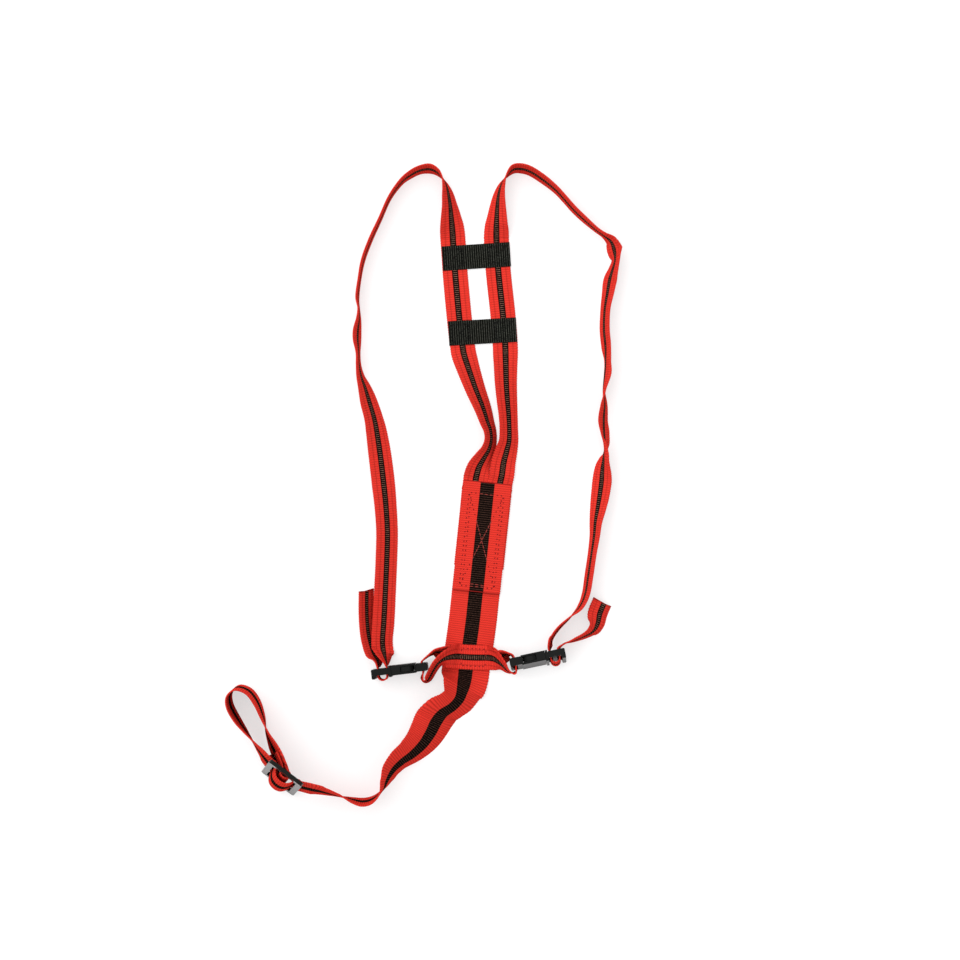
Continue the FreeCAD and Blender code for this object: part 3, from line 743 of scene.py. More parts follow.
@dataclass
class Stitching:
    """Rows of single stitches that dip into the webbing at both ends."""

    name: str
    length: float = 3.3
    gap: float = 1.3
    radius: float = 0.38
    sway: float = 0.22
    drift: float = 0.25
    sway_phase: float = 2.4
    drift_phase: float = 1.7
    hump: float = 0.55
    sunk: float = 0.35
    tip: float = 0.55
    stretch: Point = (1.15, 0.8)
    rings: int = 7
    spokes: int = 6
    vertices: list[Vector] = field(default_factory=list)
    faces: list[tuple[int, ...]] = field(default_factory=list)
    count: int = 0

    def row(self, place: Matrix, start: Point, end: Point) -> None:
        """Sew one straight row.

        Args:
            place: Frame of the sewn surface.
            start: Start of the row on it.
            end: End of the row on it.
        """
        begin = Vector((*start, 0))
        way = Vector((*end, 0)) - begin
        number = max(1, round(way.length / (self.length + self.gap)))
        pitch = way.length / number
        way.normalize()
        for k in range(number):
            self.count += 1
            shift = self.drift * math.sin(self.count * self.drift_phase)
            self._stitch(place, begin + way * (pitch * k + (pitch - self.length) / 2 + shift), way)

    def box(self, place: Matrix, low: Point, high: Point) -> None:
        """Sew a rectangle, corner by corner.

        Args:
            place: Frame of the sewn surface.
            low: Its lower left corner.
            high: Its upper right corner.
        """
        corners = (low, (high[0], low[1]), high, (low[0], high[1]), low)
        for start, end in zip(corners, corners[1:]):
            self.row(place, start, end)

    def _stitch(self, place: Matrix, begin: Vector, way: Vector) -> None:
        """Add one arched stitch, a little askew.

        Args:
            place: Frame of the sewn surface.
            begin: Where the stitch comes up.
            way: Its direction.
        """
        base = len(self.vertices)
        side = Vector((-way.y, way.x, 0))
        sway = self.sway * math.sin(self.count * self.sway_phase)
        for i in range(self.rings):
            t = i / (self.rings - 1)
            arch = math.sin(math.pi * t)
            rise = self.radius * (self.hump * arch - self.sunk)
            middle = begin + way * (self.length * t) + side * (sway * (t - 0.5)) + Vector((0, 0, rise))
            girth = self.radius * (self.tip + (1 - self.tip) * arch ** 0.5)
            wide, high = girth * self.stretch[0], girth * self.stretch[1]
            for j in range(self.spokes):
                a = 2 * math.pi * j / self.spokes
                outward = side * (wide * math.cos(a)) + Vector((0, 0, high * math.sin(a)))
                self.vertices.append((place @ (middle + outward)) * MM)
        rings = [range(base + i * self.spokes, base + (i + 1) * self.spokes) for i in range(self.rings)]
        for near, far in zip(rings, rings[1:]):
            for j in range(self.spokes):
                k = (j + 1) % self.spokes
                self.faces.append((near[j], near[k], far[k], far[j]))
        self.faces.append(tuple(reversed(rings[0])))
        self.faces.append(tuple(rings[-1]))

    def make(self) -> bpy.types.Object:
        """The rows as one mesh object."""
        return linked(self.name, self.vertices, self.faces)


# --- Routes --------------------------------------------------------------------------------

NARROW_W, NARROW_T, BRIDGE_T = 24.5, 1.5, 1.3
WIDE_W, WIDE_T = 48.0, 1.6
PLY_GAP = 0.05
SELVEDGE = 0.3
YOKE_TILT = -6.1
COVER_LENGTH = 110.0
SHOULDER_INSET = 85.0
BACK_TOP = 47.0
HALF_SPLIT = (NARROW_W + 0.1) / 2
SHOULDER_LAYER = WIDE_T + PLY_GAP
COVER_LAYER = SHOULDER_LAYER + NARROW_T + PLY_GAP

END_SLOT_X = 50.55
INNER_SLOT_X, OUTER_SLOT_X = 15.0, 6.2
LEFT_BUCKLE = Fitting(-58.8, -128.1, 6.8, 4.0, False, 16.5, 6.6, END_SLOT_X)
RIGHT_BUCKLE = Fitting(32.9, -125.2, 191.8, 14.0, True, 16.5, 6.6, END_SLOT_X)
GLIDE = Fitting(-196.9, -236.2, -37.1, 21.5, False, 31.0, 2.0)
GLIDE_PLAN = plan_place(GLIDE.x, GLIDE.y, 0, GLIDE.heading)


def yoke_place(lift: float = 0.0) -> Matrix:
    """Frame of the yoke, with Y up along the back strap, at this height."""
    return plan_place(0, 0, lift, YOKE_TILT)


def yoke_station(across: float, along: float, lift: float = 0.0) -> Station:
    """A flat station given across and along the yoke."""
    point = yoke_place() @ Vector((across, along, 0))
    return Station(point.x, point.y, 0.0, lift)


def glide_station(x: float, y: float, roll: float, lift: float) -> Station:
    """A station given in the plan of the adjuster."""
    point = GLIDE_PLAN @ Vector((x, y, 0))
    return Station(point.x, point.y, roll, lift)


class Side(Enum):
    """The two sides of the harness."""

    LEFT = "left"
    RIGHT = "right"


Rows = Sequence[tuple[float, ...]]
BACK_LAYER = WIDE_T + PLY_GAP
FRONT_LAYER = BACK_LAYER + NARROW_T + PLY_GAP
LEFT_LIFT = LEFT_BUCKLE.height - NARROW_W / 2
RIGHT_LIFT = RIGHT_BUCKLE.height - NARROW_W / 2

BACK_RUN: Rows = (
    (-7.0, -63.0), (-9.4, -85.0), (-12.6, -108.0), (-15.4, -126.0), (-16.4, -134.0),
    (-17.4, -141.0, -11.0, 0.15), (-19.8, -150.5, -34.0), (-23.2, -160.2, -44.0), (-30.4, -167.4, -46.0),
    (-39.8, -173.6, -42.0), (-46.4, -182.4, -35.0), (-52.2, -193.2, -39.0), (-59.8, -204.0, -46.0),
    (-69.6, -213.2, -53.0), (-80.2, -220.7, -60.0), (-88.6, -229.1, -67.0), (-94.1, -239.0, -76.0),
    (-98.8, -250.1, -86.0), (-107.5, -258.6, -90.0), (-117.5, -261.3, -90.0), (-128.4, -259.2, -86.0),
    (-138.3, -256.0, -80.0, 0.6), (-147.6, -253.0, -76.0, 2.0), (-158.5, -249.8, -72.0, 4.0),
    (-168.5, -247.4, -69.0, 6.0),
)

GLIDE_WEAVE: Rows = (
    (18.0, 3.5), (14.8, 3.5), (12.3, 2.2), (11.0, -0.6), (9.2, -4.4), (5.5, -7.6), (0.0, -8.8),
    (-5.5, -7.6), (-9.2, -4.4), (-11.0, -0.6), (-12.3, 2.2), (-14.8, 3.5), (-18.0, 3.7),
)

END_LOOP: Rows = (
    (-26.0, 5.4, -71.0, 5.5), (-38.0, 8.5, -77.0, 3.5), (-54.0, 13.0, -84.0, 1.5),
    (-70.0, 18.0, -89.0, 0.5), (-84.0, 24.5, -90.0, 0.5), (-91.0, 33.0, -90.0, 0.5),
    (-89.0, 43.0, -90.0, 0.5), (-78.0, 47.0, -90.0, 0.5), (-65.0, 43.5, -90.0, 0.5),
    (-51.0, 35.0, -93.0, 1.5), (-38.0, 25.5, -101.0, 3.2), (-26.0, 19.0, -108.0, 5.4),
    (-16.0, 14.2, -110.0, 7.0),
)

GLIDE_SEWN: Rows = (
    (-7.5, 8.6), (-1.0, 4.6), (3.4, 3.4), (5.0, 0.6), (4.0, -2.4), (0.0, -3.6), (-4.0, -2.4), (-5.0, 0.6),
    (-6.0, 3.6), (-9.5, 6.6), (-15.5, 10.4), (-21.0, 13.6),
)

LEFT_SHOULDER: Rows = (
    (-5.4, 62.0, 8, SHOULDER_LAYER), (-3.0, 70.5, 27, 1.0), (1.6, 79.0, 44, 0.3), (6.3, 87.5, 56),
    (8.6, 97.0, 62), (7.9, 106.0, 61), (4.9, 115.0, 56), (0.5, 129.0, 48), (-6.5, 147.0, 38),
    (-13.4, 167.0, 25), (-17.7, 181.0, 9), (-19.2, 189.0), (-21.2, 205.0), (-23.5, 227.0), (-26.7, 262.0),
    (-27.9, 281.0), (-29.0, 296.0), (-29.3, 301.0, 5), (-29.9, 307.5, 16), (-30.8, 316.0, 33),
    (-32.3, 330.5, 54), (-33.9, 340.3, 63), (-35.8, 348.7, 74), (-39.0, 356.7, 87), (-44.2, 363.0, 97),
    (-51.7, 366.4, 103), (-61.7, 365.2, 100), (-71.6, 360.2, 98), (-81.0, 352.5, 94), (-92.0, 337.0, 92),
    (-101.4, 316.0, 92), (-110.8, 295.6, 93), (-118.3, 275.0, 93), (-121.9, 255.8, 92), (-123.9, 238.5, 93),
    (-122.5, 227.0, 90), (-122.6, 217.0, 96), (-124.0, 206.0, 104), (-124.2, 196.0, 104),
    (-123.2, 183.0, 95), (-122.6, 171.0, 97), (-120.6, 159.5, 105), (-116.8, 148.4, 117),
    (-112.6, 134.5, 129), (-108.0, 119.0, 134), (-105.0, 104.0, 143), (-101.5, 80.0, 152),
    (-98.5, 55.0, 154), (-96.0, 30.0, 148), (-94.6, 5.0, 146), (-95.3, -24.0, 146), (-96.7, -55.0, 147),
    (-98.2, -84.0, 148), (-99.4, -100.0, 145), (-99.2, -109.0, 143, 0.4),
    (-97.7, -116.2, 123, LEFT_LIFT - 2.2),
)

LEFT_TAIL: Rows = (
    (-104.6, -121.6, 70, LEFT_LIFT - 2.2), (-108.4, -114.5, 58, 1.2), (-111.6, -105.0, 57, 0.3),
    (-114.0, -93.0, 58), (-115.2, -75.0, 58), (-115.1, -53.0, 58),
)

RIGHT_SHOULDER: Rows = (
    (19.8, 62.5, 3, 3.6), (21.5, 75.0, 15, 2.4), (24.6, 87.5, 30, 1.0), (26.6, 97.0, 40, 0.3),
    (26.6, 110.0, 43), (26.0, 122.0, 41), (24.8, 137.0, 35), (23.8, 154.0, 28), (23.5, 171.0, 20),
    (23.4, 182.0, 8), (23.3, 190.0), (22.4, 205.0), (20.4, 227.0), (16.8, 260.0), (15.2, 281.0),
    (14.5, 296.0), (14.4, 301.0, -5), (14.6, 307.5, -17), (15.0, 316.0, -35), (15.9, 330.5, -53),
    (17.2, 341.0, -64), (19.9, 351.0, -76), (24.5, 359.5, -90), (30.8, 365.9, -101), (38.7, 366.7, -103),
    (48.5, 363.8, -102), (61.8, 355.2, -101), (73.8, 345.3, -98), (83.0, 335.4, -97), (91.9, 325.4, -97),
    (102.4, 315.5, -96), (113.6, 305.8, -93), (121.0, 300.5, -94), (128.5, 294.5, -108),
    (132.0, 286.0, -122), (133.0, 276.5, -104), (130.6, 266.5, -109), (127.5, 256.0, -118),
    (125.3, 243.0, -114), (122.6, 226.0, -108), (121.9, 207.0, -108), (123.4, 190.0, -107),
    (124.0, 176.0, -100), (123.6, 163.0, -100), (121.3, 147.0, -90), (121.3, 132.0, -73),
    (120.3, 117.0, -66), (121.3, 103.0, -68), (122.7, 92.0, -80), (122.4, 84.0, -95), (121.2, 75.5, -112),
    (120.2, 66.0, -128), (119.4, 55.0, -136), (117.4, 40.0, -132), (115.3, 27.5, -124), (113.2, 15.0, -115),
    (112.0, 1.0, -109), (109.4, -17.0, -105), (106.3, -38.0, -105), (103.2, -56.5, -103),
    (97.4, -69.5, -97), (87.4, -79.5, -84), (76.4, -90.0, -80), (69.6, -99.5, -80, RIGHT_LIFT - 3.9),
    (67.6, -106.5, -78, RIGHT_LIFT - 1.9),
)

RIGHT_TAIL: Rows = (
    (81.7, -105.5, -94, RIGHT_LIFT - 2.9), (91.0, -102.0, -101, 1.2), (101.2, -98.0, -107),
    (109.2, -93.4, -116), (114.0, -86.0, -138), (116.6, -75.4, -150), (120.9, -65.2, -151),
)

WAIST_LEFT_IN: Rows = (
    (-4.0, -120.2, 180, BACK_LAYER), (-15.0, -119.8, 180, BACK_LAYER), (-22.0, -119.3, 180, BACK_LAYER),
    (-28.0, -118.4, 168, BACK_LAYER), (-34.0, -116.0, 150, 1.8), (-40.0, -113.6, 126, 2.8),
    (-46.5, -113.4, 106, 3.8), (-52.5, -117.0, 97, LEFT_LIFT - 0.4),
)

WAIST_FRONT: Rows = (
    (-59.4, -140.4, 84, LEFT_LIFT + 0.4), (-56.6, -142.4, 78, LEFT_LIFT + 0.4),
    (-53.5, -140.2, 73, LEFT_LIFT + 0.4), (-48.9, -131.8, 70, 5.0), (-43.6, -124.2, 66, 5.6),
    (-37.0, -119.8, 52, 5.4), (-30.0, -118.6, 26, 4.4), (-22.5, -119.2, 0, FRONT_LAYER),
    (-15.0, -119.8, 0, FRONT_LAYER), (-4.0, -120.2, 0, FRONT_LAYER), (5.0, -120.2, 0, FRONT_LAYER),
    (11.4, -120.6, 28, 3.6), (16.0, -122.8, 52, 4.2), (20.4, -126.4, 67, 5.2),
    (24.8, -131.0, 76, RIGHT_LIFT + 0.8), (29.0, -133.6, 84, RIGHT_LIFT + 1.5),
    (33.0, -133.6, 90, RIGHT_LIFT + 1.8),
)

WAIST_RIGHT_OUT: Rows = (
    (28.8, -116.2, 97, RIGHT_LIFT - 1.7), (22.6, -115.8, 114, 3.4), (16.5, -118.2, 138, 2.2),
    (10.5, -119.4, 162, BACK_LAYER), (5.0, -120.2, 180, BACK_LAYER), (-2.0, -120.2, 180, BACK_LAYER),
)

# Where a strap's section is crowned: row number of its table to degrees of arc
Crown = dict[int, float]
NO_CROWN: Crown = {}
BACK_CROWN: Crown = {8: -20, 9: -35, 10: -45, 11: -50, 12: -50, 13: -45, 14: -35, 15: -20}
RIGHT_CROWN: Crown = {42: 30, 43: 60, 44: 30, 47: 40, 48: 65, 49: 40}
RIGHT_TAIL_CROWN: Crown = {3: 20, 4: 50, 5: 70, 6: 75}


def laid(rows: Rows, crown: Crown = NO_CROWN) -> list[Station]:
    """Stations of rows of x, y, roll and lift.

    Args:
        rows: The rows, each without the values that are zero at its end.
        crown: Row number to degrees of arc.

    Returns:
        The stations.
    """
    out = []
    for number, row in enumerate(rows):
        x, y, roll, lift = (*row, 0.0, 0.0)[:4]
        out.append(Station(x, y, roll, lift, crown.get(number, 0.0)))
    return out


def fixed(fitting: Fitting, points: Iterable[tuple[float, ...]]) -> list[Station]:
    """Stations given in a fitting's own frame."""
    return [Station(x, y, fitting=fitting) for x, y in points]


# --- Sub-assemblies ------------------------------------------------------------------------


@dataclass
class LadderLock:
    """The way webbing turns round the plug's grip bar."""

    inner_slot: float = INNER_SLOT_X
    outer_slot: float = OUTER_SLOT_X
    turn_y: float = -4.0
    outside: float = 5.0
    inside: float = 1.0

    def route(self, fitting: Fitting) -> list[Station]:
        """Lead the webbing down the inner slot, round the bar and up the outer slot.

        Args:
            fitting: The buckle.

        Returns:
            The stations.
        """
        radius = (self.inner_slot - self.outer_slot) / 2
        middle = (self.inner_slot + self.outer_slot) / 2
        points = [(self.inner_slot, self.outside), (self.inner_slot, self.inside)]
        for step in range(0, 181, 30):
            a = math.radians(step)
            points.append((middle + radius * math.cos(a), self.turn_y - radius * math.sin(a)))
        points += [(self.outer_slot, self.inside), (self.outer_slot, self.outside)]
        return fixed(fitting, points)


@dataclass
class ShoulderStrap:
    """One shoulder strap: from the yoke over the shoulder, through the buckle, to its free end."""

    side: Side
    finishes: Finishes
    lock: LadderLock = field(default_factory=LadderLock)
    blend_x: float = 100.0
    blend_y: Point = (-36.0, -106.0)
    head_past: tuple[float, ...] = (-SHOULDER_INSET, -12.0, -6.0, 1.5)

    def _stations(self) -> tuple[list[Station], int]:
        """Lay the whole strap.

        Returns:
            Its stations, and the number of the one inside the ladder lock's inner slot.
        """
        left = self.side is Side.LEFT
        across = -HALF_SPLIT if left else HALF_SPLIT
        edge = COVER_LENGTH / 2
        head = [yoke_station(across, edge + past, SHOULDER_LAYER) for past in self.head_past]
        body = laid(LEFT_SHOULDER) if left else laid(RIGHT_SHOULDER, RIGHT_CROWN)
        turn = self.lock.route(LEFT_BUCKLE if left else RIGHT_BUCKLE)
        tail = laid(LEFT_TAIL) if left else laid(RIGHT_TAIL, RIGHT_TAIL_CROWN)
        return head + body + turn + tail, len(head) + len(body) + 1

    def build(self) -> list[bpy.types.Object]:
        """Build the shoulder run and the free end.

        Returns:
            The two pieces.
        """
        left = self.side is Side.LEFT
        name = self.side.value
        stations, split = self._stations()
        width = NARROW_W + 2 * SELVEDGE
        sign = 1.0 if left else -1.0
        ribbon = Ribbon(stations, width, NARROW_T, sign, (0.0, -3.5 if left else -3.0))
        plain = Ribbon(stations, width, NARROW_T, sign)
        cuts = ribbon.cuts()
        at = next(i for i, cut in enumerate(cuts) if cut.station == split)
        material = self.finishes.get(NARROW_WEBBING)
        run = dress(plain.mesh(name + "_shoulder_run", cuts[:at + 1], start_cut=True), material)
        tail = dress(ribbon.mesh(name + "_strap_free_end", cuts[at:], end_cut=True), material)
        node = name + "_shoulder_strap"
        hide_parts(node)
        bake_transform(run)
        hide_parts(node)
        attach(tail, name + "_plug")
        return [run, tail]


@dataclass
class BackStrap:
    """The wide strap: yoke to adjuster, through it, round the end loop and back."""

    finishes: Finishes
    head: tuple[Point, Point] = ((-1.2, BACK_TOP), (-0.4, 0.0))
    run_blend: tuple[Point, Point] = ((-100.0, -258.0), (-172.0, -246.0))
    loop_blend: tuple[Point, Point] = ((-78.0, 30.0), (-22.0, 10.0))
    cut_skew: float = 4.0

    def build(self) -> list[bpy.types.Object]:
        """Build the run from the yoke, the weave through the adjuster, the loop and its sewn end.

        Returns:
            The four pieces.
        """
        head = [yoke_station(across, along) for across, along in self.head]
        body = laid(BACK_RUN, BACK_CROWN)
        weave = fixed(GLIDE, GLIDE_WEAVE)
        loop = [glide_station(*row) for row in END_LOOP]
        sewn = fixed(GLIDE, GLIDE_SEWN)
        stations = head + body + weave + loop + sewn
        skewed = Ribbon(stations, WIDE_W, WIDE_T, -1.0, (self.cut_skew, 0.0), step=0.7)
        plain = Ribbon(stations, WIDE_W, WIDE_T, -1.0)
        cuts = skewed.cuts()
        before = len(head) + len(body)
        marks = (0, before + 1, before + len(weave) - 2, before + len(weave) + len(loop), len(stations) - 1)
        at = [next(i for i, cut in enumerate(cuts) if cut.station == mark) for mark in marks]
        pieces = []
        for i, name in enumerate(("back_strap_run", "adjuster_weave", "end_loop", "sewn_end")):
            ribbon = skewed if i == 0 else plain
            piece = ribbon.mesh(name, cuts[at[i]:at[i + 1] + 1], start_cut=i == 0, end_cut=i == 3)
            dress(piece, self.finishes.get(WIDE_WEBBING))
            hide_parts("back_strap")
            pieces.append(piece)
        run, weave_piece, loop_piece, sewn_piece = pieces
        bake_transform(run)
        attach(weave_piece, "tri_glide")
        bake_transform(loop_piece)
        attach(sewn_piece, "tri_glide")
        return pieces


@dataclass
class Yoke:
    """Cover patch and the box of stitches through all its layers."""

    finishes: Finishes
    seam_edge: float = 6.5
    seam_low: float = 5.0 - COVER_LENGTH / 2
    seam_high: float = COVER_LENGTH / 2 - 12.0
    stripe_half: float = 7.1

    def build(self) -> list[bpy.types.Object]:
        """Build the cover and its stitching.

        Returns:
            The pieces.
        """
        half = COVER_LENGTH / 2
        stations = [yoke_station(0.0, share * half, COVER_LAYER) for share in (-1.0, -0.5, 0.0, 0.5, 1.0)]
        ribbon = Ribbon(stations, WIDE_W, WIDE_T)
        cover = ribbon.mesh("yoke_cover", ribbon.cuts(), start_cut=True, end_cut=True)
        dress(cover, self.finishes.get(WIDE_WEBBING))
        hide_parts("yoke_cover_patch")
        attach(cover, "harness")
        pieces = [cover]
        # The sunken rows take the thread painted with the shade of their needle holes
        for finish, thread in ((RED_THREAD, self._bright()), (HOLE_SHADE_THREAD, self._dark())):
            seams = dress(thread.make(), self.finishes.get(finish))
            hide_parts("yoke_stitching")
            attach(seams, "harness")
            pieces.append(seams)
        return pieces

    @property
    def _top(self) -> Matrix:
        """Frame of the cover's upper face."""
        return yoke_place(COVER_LAYER + WIDE_T)

    def _diagonal(self, side: int, across: float) -> Point:
        """Point of one of the box's two diagonals.

        Args:
            side: 1 for the diagonal that rises to the right, -1 for the other.
            across: Distance from the middle line.

        Returns:
            The point on the cover.
        """
        edge = WIDE_W / 2 - self.seam_edge
        slope = (self.seam_high - self.seam_low) / (2 * edge)
        return across, (self.seam_low + self.seam_high) / 2 + side * slope * across

    def _bright(self) -> Stitching:
        """Sew the thread where it shows light against the black stripe.

        Returns:
            The rows.
        """
        rows = Stitching("yoke_thread", length=3.6, gap=1.0)
        reach = self.stripe_half + 0.6
        low, high = self.seam_low, self.seam_high
        for side in (-1, 1):
            rows.row(self._top, self._diagonal(side, -reach), self._diagonal(side, reach))
        for start, end in ((low, low + 0.4), (low + 2.6, low + 2.0), (high, high - 0.5)):
            rows.row(self._top, (-reach, start), (reach, end))
        return rows

    def _dark(self) -> Stitching:
        """Sew the rows where the thread sinks into the red; this thread is painted dark as the shade of its
        needle holes.

        Returns:
            The rows.
        """
        rows = Stitching("yoke_needle_rows", length=1.5, gap=3.2, radius=0.46)
        edge = WIDE_W / 2 - self.seam_edge
        inner = self.stripe_half + 1.4
        low, high = self.seam_low, self.seam_high
        for side in (-1, 1):
            rows.row(self._top, (side * edge, low), (side * edge, high))
            rows.row(self._top, (side * (edge - 2.8), low + 4.0), (side * (edge - 2.2), high - 3.0))
            for rising, y in ((-side, low), (side, high)):
                rows.row(self._top, (side * inner, y), (side * edge, y))
                rows.row(self._top, self._diagonal(rising, side * inner), self._diagonal(rising, side * edge))
        return rows


@dataclass
class Bridges:
    """The two short black straps across the shoulder straps, with their sewn squares."""

    finishes: Finishes
    length: float = 68.0
    upper: tuple[float, float, float] = (-5.7, 280.3, 3.8)
    lower: tuple[float, float, float] = (0.6, 205.2, 3.3)
    seam_inset: float = 3.0
    second_row: float = 1.3

    def build(self) -> list[bpy.types.Object]:
        """Build both straps and their stitching.

        Returns:
            The four pieces.
        """
        pieces = []
        for name, (x, y, tilt) in (("upper", self.upper), ("lower", self.lower)):
            place = plan_place(x, y, NARROW_T + PLY_GAP, tilt)
            pieces += [self._strap(name, place), self._squares(name, place)]
        return pieces

    def _strap(self, name: str, place: Matrix) -> bpy.types.Object:
        """Build one bridge strap.

        Args:
            name: Which of the two.
            place: Its frame.

        Returns:
            The strap.
        """
        stations = []
        for share in (-1 / 2, -1 / 4, 0.0, 1 / 4, 1 / 2):
            point = place @ Vector((self.length * share, 0, 0))
            stations.append(Station(point.x, point.y, 0.0, point.z))
        ribbon = Ribbon(stations, NARROW_W, BRIDGE_T, scallop=0.2, scallop_pitch=1.8)
        strap = ribbon.mesh(name + "_bridge", ribbon.cuts(), start_cut=True, end_cut=True)
        dress(strap, self.finishes.get(BLACK_WEBBING))
        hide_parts(name + "_bridge_strap")
        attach(strap, "harness")
        return strap

    def _squares(self, name: str, place: Matrix) -> bpy.types.Object:
        """Sew the crossed double square at each end of a strap.

        Args:
            name: Which of the two.
            place: The strap's frame.

        Returns:
            The stitching.
        """
        thread = Stitching(name + "_bridge_thread", length=2.4, gap=1.0, radius=0.34)
        top = place @ Matrix.Translation((0, 0, BRIDGE_T))
        half = NARROW_W / 2 - self.seam_inset
        for side in (-1, 1):
            middle = side * (self.length / 2 - NARROW_W / 2)
            thread.row(top, (middle - half, -half), (middle + half, half))
            thread.row(top, (middle - half, half), (middle + half, -half))
            for reach in (half, half - self.second_row):
                thread.box(top, (middle - reach, -reach), (middle + reach, reach))
        seams = dress(thread.make(), self.finishes.get(BLACK_THREAD))
        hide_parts(name + "_bridge_stitching")
        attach(seams, "harness")
        return seams


@dataclass
class WaistBelt:
    """The waist strap: one belt, doubled over the back strap, looped through both sockets."""

    finishes: Finishes
    slot_reach: tuple[float, ...] = (5.4, 2.6, 0.0, -2.6, -5.4)
    seam_place: Matrix = field(default_factory=lambda: plan_place(-8.5, -120.0, FRONT_LAYER + NARROW_T, -3.0))
    seam_half_length: float = 12.0
    seam_half_width: float = NARROW_W / 2 - 3.5

    def _slot(self, fitting: Fitting, way: int) -> list[Station]:
        """Stations through a socket's end slot, one way or the other."""
        return fixed(fitting, [(END_SLOT_X, y * way) for y in self.slot_reach])

    def build(self) -> list[bpy.types.Object]:
        """Build the belt and its stitching.

        Returns:
            The two pieces.
        """
        stations = (laid(WAIST_LEFT_IN) + self._slot(LEFT_BUCKLE, 1) + laid(WAIST_FRONT)
                    + self._slot(RIGHT_BUCKLE, -1) + laid(WAIST_RIGHT_OUT))
        ribbon = Ribbon(stations, NARROW_W, NARROW_T)
        belt = dress(ribbon.mesh("waist_belt", ribbon.cuts()), self.finishes.get(NARROW_WEBBING))
        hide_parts("waist_strap")
        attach(belt, "harness")
        thread = Stitching("waist_thread", length=1.9, gap=2.2)
        reach, half = self.seam_half_length, self.seam_half_width
        thread.box(self.seam_place, (-reach, -half), (reach, half))
        # The stitches are painted dark as the shade of their needle holes in the red belt
        seams = dress(thread.make(), self.finishes.get(HOLE_SHADE_THREAD))
        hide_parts("waist_stitching")
        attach(seams, "harness")
        return [belt, seams]


@dataclass
class Mouldings:
    """The moulded fittings: their CAD shapes, given a moulded finish."""

    finishes: Finishes
    nodes: dict[str, bpy.types.Object]
    edge_radius: float = 0.35
    sharp: float = 40.0

    def build(self) -> list[bpy.types.Object]:
        """Dress every moulded node.

        Returns:
            The dressed nodes.
        """
        pieces = []
        for name, node in self.nodes.items():
            if any(word in name for word in ("buckle", "prong")):
                pieces.append(self._soften(dress(node, self.finishes.get(BUCKLE_PLASTIC))))
            elif name == "tri_glide":
                pieces.append(self._soften(dress(node, self.finishes.get(ADJUSTER_PLASTIC))))
            elif name == "end_loop_stitching":
                pieces.append(dress(node, self.finishes.get(RED_THREAD)))
        return pieces

    def _soften(self, node: bpy.types.Object) -> bpy.types.Object:
        """Round the sharp edges a little, as a mould does.

        Args:
            node: The moulding.

        Returns:
            The same moulding.
        """
        bevel = node.modifiers.new("edge_rounding", "BEVEL")
        bevel.width = self.edge_radius * MM
        bevel.segments = 2
        bevel.limit_method = "ANGLE"
        bevel.angle_limit = math.radians(self.sharp)
        return node


# --- Studio --------------------------------------------------------------------------------


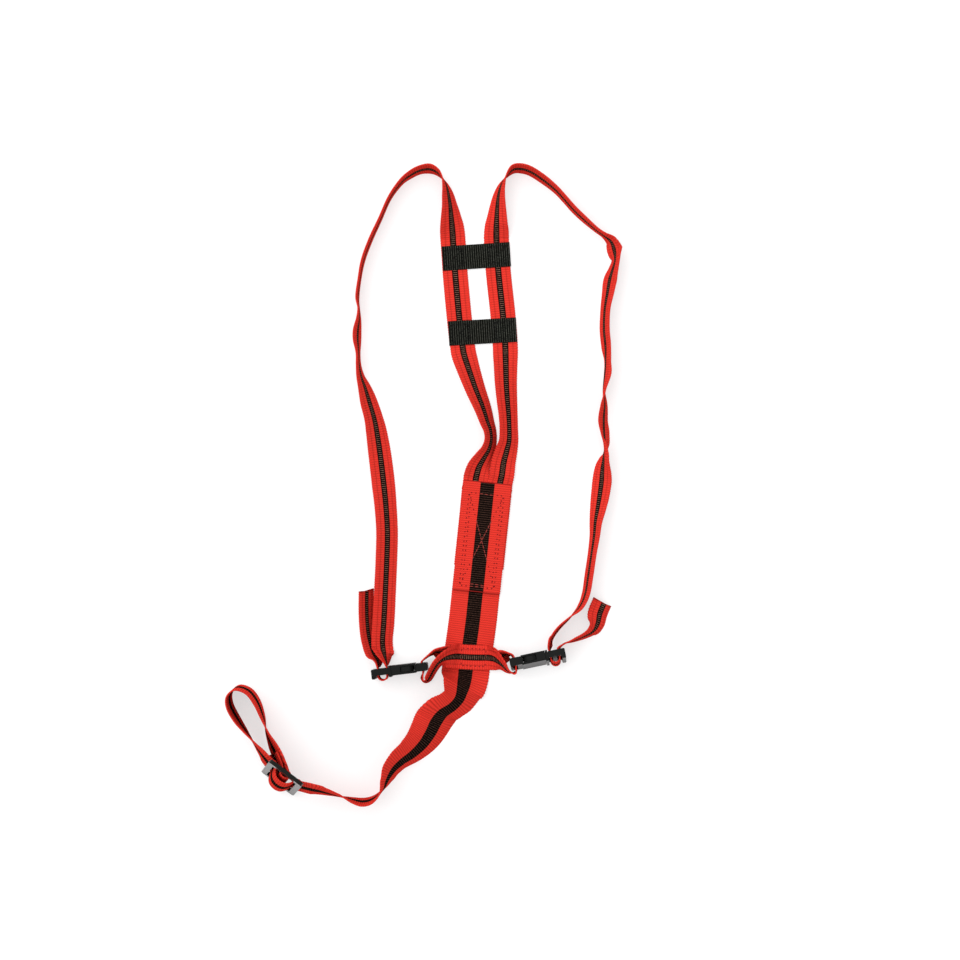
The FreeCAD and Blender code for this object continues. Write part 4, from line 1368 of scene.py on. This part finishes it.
@dataclass
class Studio:
    """Pale floor, soft lamps, white background and the camera above."""

    camera_x: float = -0.002
    camera_y: float = 0.057
    camera_height: float = 2.0
    lens: float = 75.0
    floor_size: float = 6.0
    floor_drop: float = 0.0003
    world_glow: float = 0.64
    paper_glow: float = 0.58

    def build(self) -> None:
        """Build the whole studio."""
        self._floor()
        self._lamps()
        self._world()
        self._camera()

    def _floor(self) -> None:
        """A plain pale floor whose own colour reads white to the camera."""
        half = self.floor_size / 2
        corners = [(-half, -half, 0), (half, -half, 0), (half, half, 0), (-half, half, 0)]
        floor = linked("floor", corners, [(0, 1, 2, 3)])
        floor.location.z = -self.floor_drop
        dress(floor, self._paper())

    def _paper(self) -> bpy.types.Material:
        """White paper whose shadows read faint to the camera.

        Returns:
            The material.
        """
        bench = Bench("floor_paper")
        plain = {"Base Color": (0.97, 0.97, 0.97, 1.0), "Roughness": 0.9, "Specular IOR Level": 0.1}
        seen = {"Base Color": (0.42, 0.42, 0.42, 1.0), "Roughness": 0.9, "Specular IOR Level": 0.0,
                "Emission Color": (1.0, 1.0, 1.0, 1.0), "Emission Strength": self.paper_glow}
        camera = bench.node("ShaderNodeLightPath", output="Is Camera Ray")
        shaders = [bench.node("ShaderNodeBsdfPrincipled", inputs=inputs) for inputs in (plain, seen)]
        surface = bench.node("ShaderNodeMixShader", inputs={0: camera, 1: shaders[0], 2: shaders[1]})
        bench.node("ShaderNodeOutputMaterial", inputs={"Surface": surface})
        return bench.material

    def _lamp(self, name: str, place: Vector, aim: Vector, size: float, power: float) -> None:
        """One square area lamp.

        Args:
            name: Lamp name.
            place: Where it hangs, in metres.
            aim: What it points at.
            size: Its side.
            power: Its power in watts.
        """
        data = bpy.data.lights.new(name, "AREA")
        data.shape = "SQUARE"
        data.size = size
        data.energy = power
        lamp = bpy.data.objects.new(name, data)
        lamp.location = place
        lamp.rotation_euler = (aim - place).to_track_quat("-Z", "Y").to_euler()
        bpy.context.scene.collection.objects.link(lamp)

    def _lamps(self) -> None:
        """Broad key lamp from the upper left, a softer one overhead."""
        aim = Vector((0, 0.05, 0))
        self._lamp("key_lamp", Vector((-1.15, 0.8, 1.9)), aim, 2.6, 42.0)
        self._lamp("top_lamp", Vector((0.2, 0.3, 2.5)), aim, 3.6, 34.0)

    def _world(self) -> None:
        """White background, soft light from all round."""
        world = bpy.data.worlds.new("studio")
        bpy.context.scene.world = world
        world.use_nodes = True
        tree = world.node_tree
        background = tree.nodes["Background"]
        background.inputs["Color"].default_value = (1, 1, 1, 1)
        path = tree.nodes.new("ShaderNodeLightPath")
        seen = tree.nodes.new("ShaderNodeMath")
        seen.operation = "MAXIMUM"
        tree.links.new(path.outputs["Is Camera Ray"], seen.inputs[0])
        tree.links.new(path.outputs["Is Glossy Ray"], seen.inputs[1])
        strength = tree.nodes.new("ShaderNodeMapRange")
        strength.inputs["To Min"].default_value = self.world_glow
        strength.inputs["To Max"].default_value = 1.0
        tree.links.new(seen.outputs[0], strength.inputs["Value"])
        tree.links.new(strength.outputs[0], background.inputs["Strength"])

    def _camera(self) -> None:
        """Camera straight above, looking down."""
        data = bpy.data.cameras.new("camera")
        data.lens = self.lens
        data.sensor_width = 36.0
        data.clip_end = 50.0
        camera = bpy.data.objects.new("camera", data)
        camera.location = (self.camera_x, self.camera_y, self.camera_height)
        bpy.context.scene.collection.objects.link(camera)
        bpy.context.scene.camera = camera


def main() -> None:
    """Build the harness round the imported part, then the studio."""
    logging.basicConfig(level=logging.INFO, format="%(name)s: %(message)s")
    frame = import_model()
    bpy.context.scene.view_settings.view_transform = "Standard"
    finishes = Finishes()
    groups = (
        Mouldings(finishes, frame["nodes"]),
        BackStrap(finishes),
        ShoulderStrap(Side.LEFT, finishes),
        ShoulderStrap(Side.RIGHT, finishes),
        Yoke(finishes),
        Bridges(finishes),
        WaistBelt(finishes),
    )
    for group in groups:
        for piece in group.build():
            LOG.info("%s: %s, %d faces", type(group).__name__, piece.name, len(piece.data.polygons))
    Studio().build()
    bpy.context.view_layer.update()


if __name__ == "__main__":
    main()
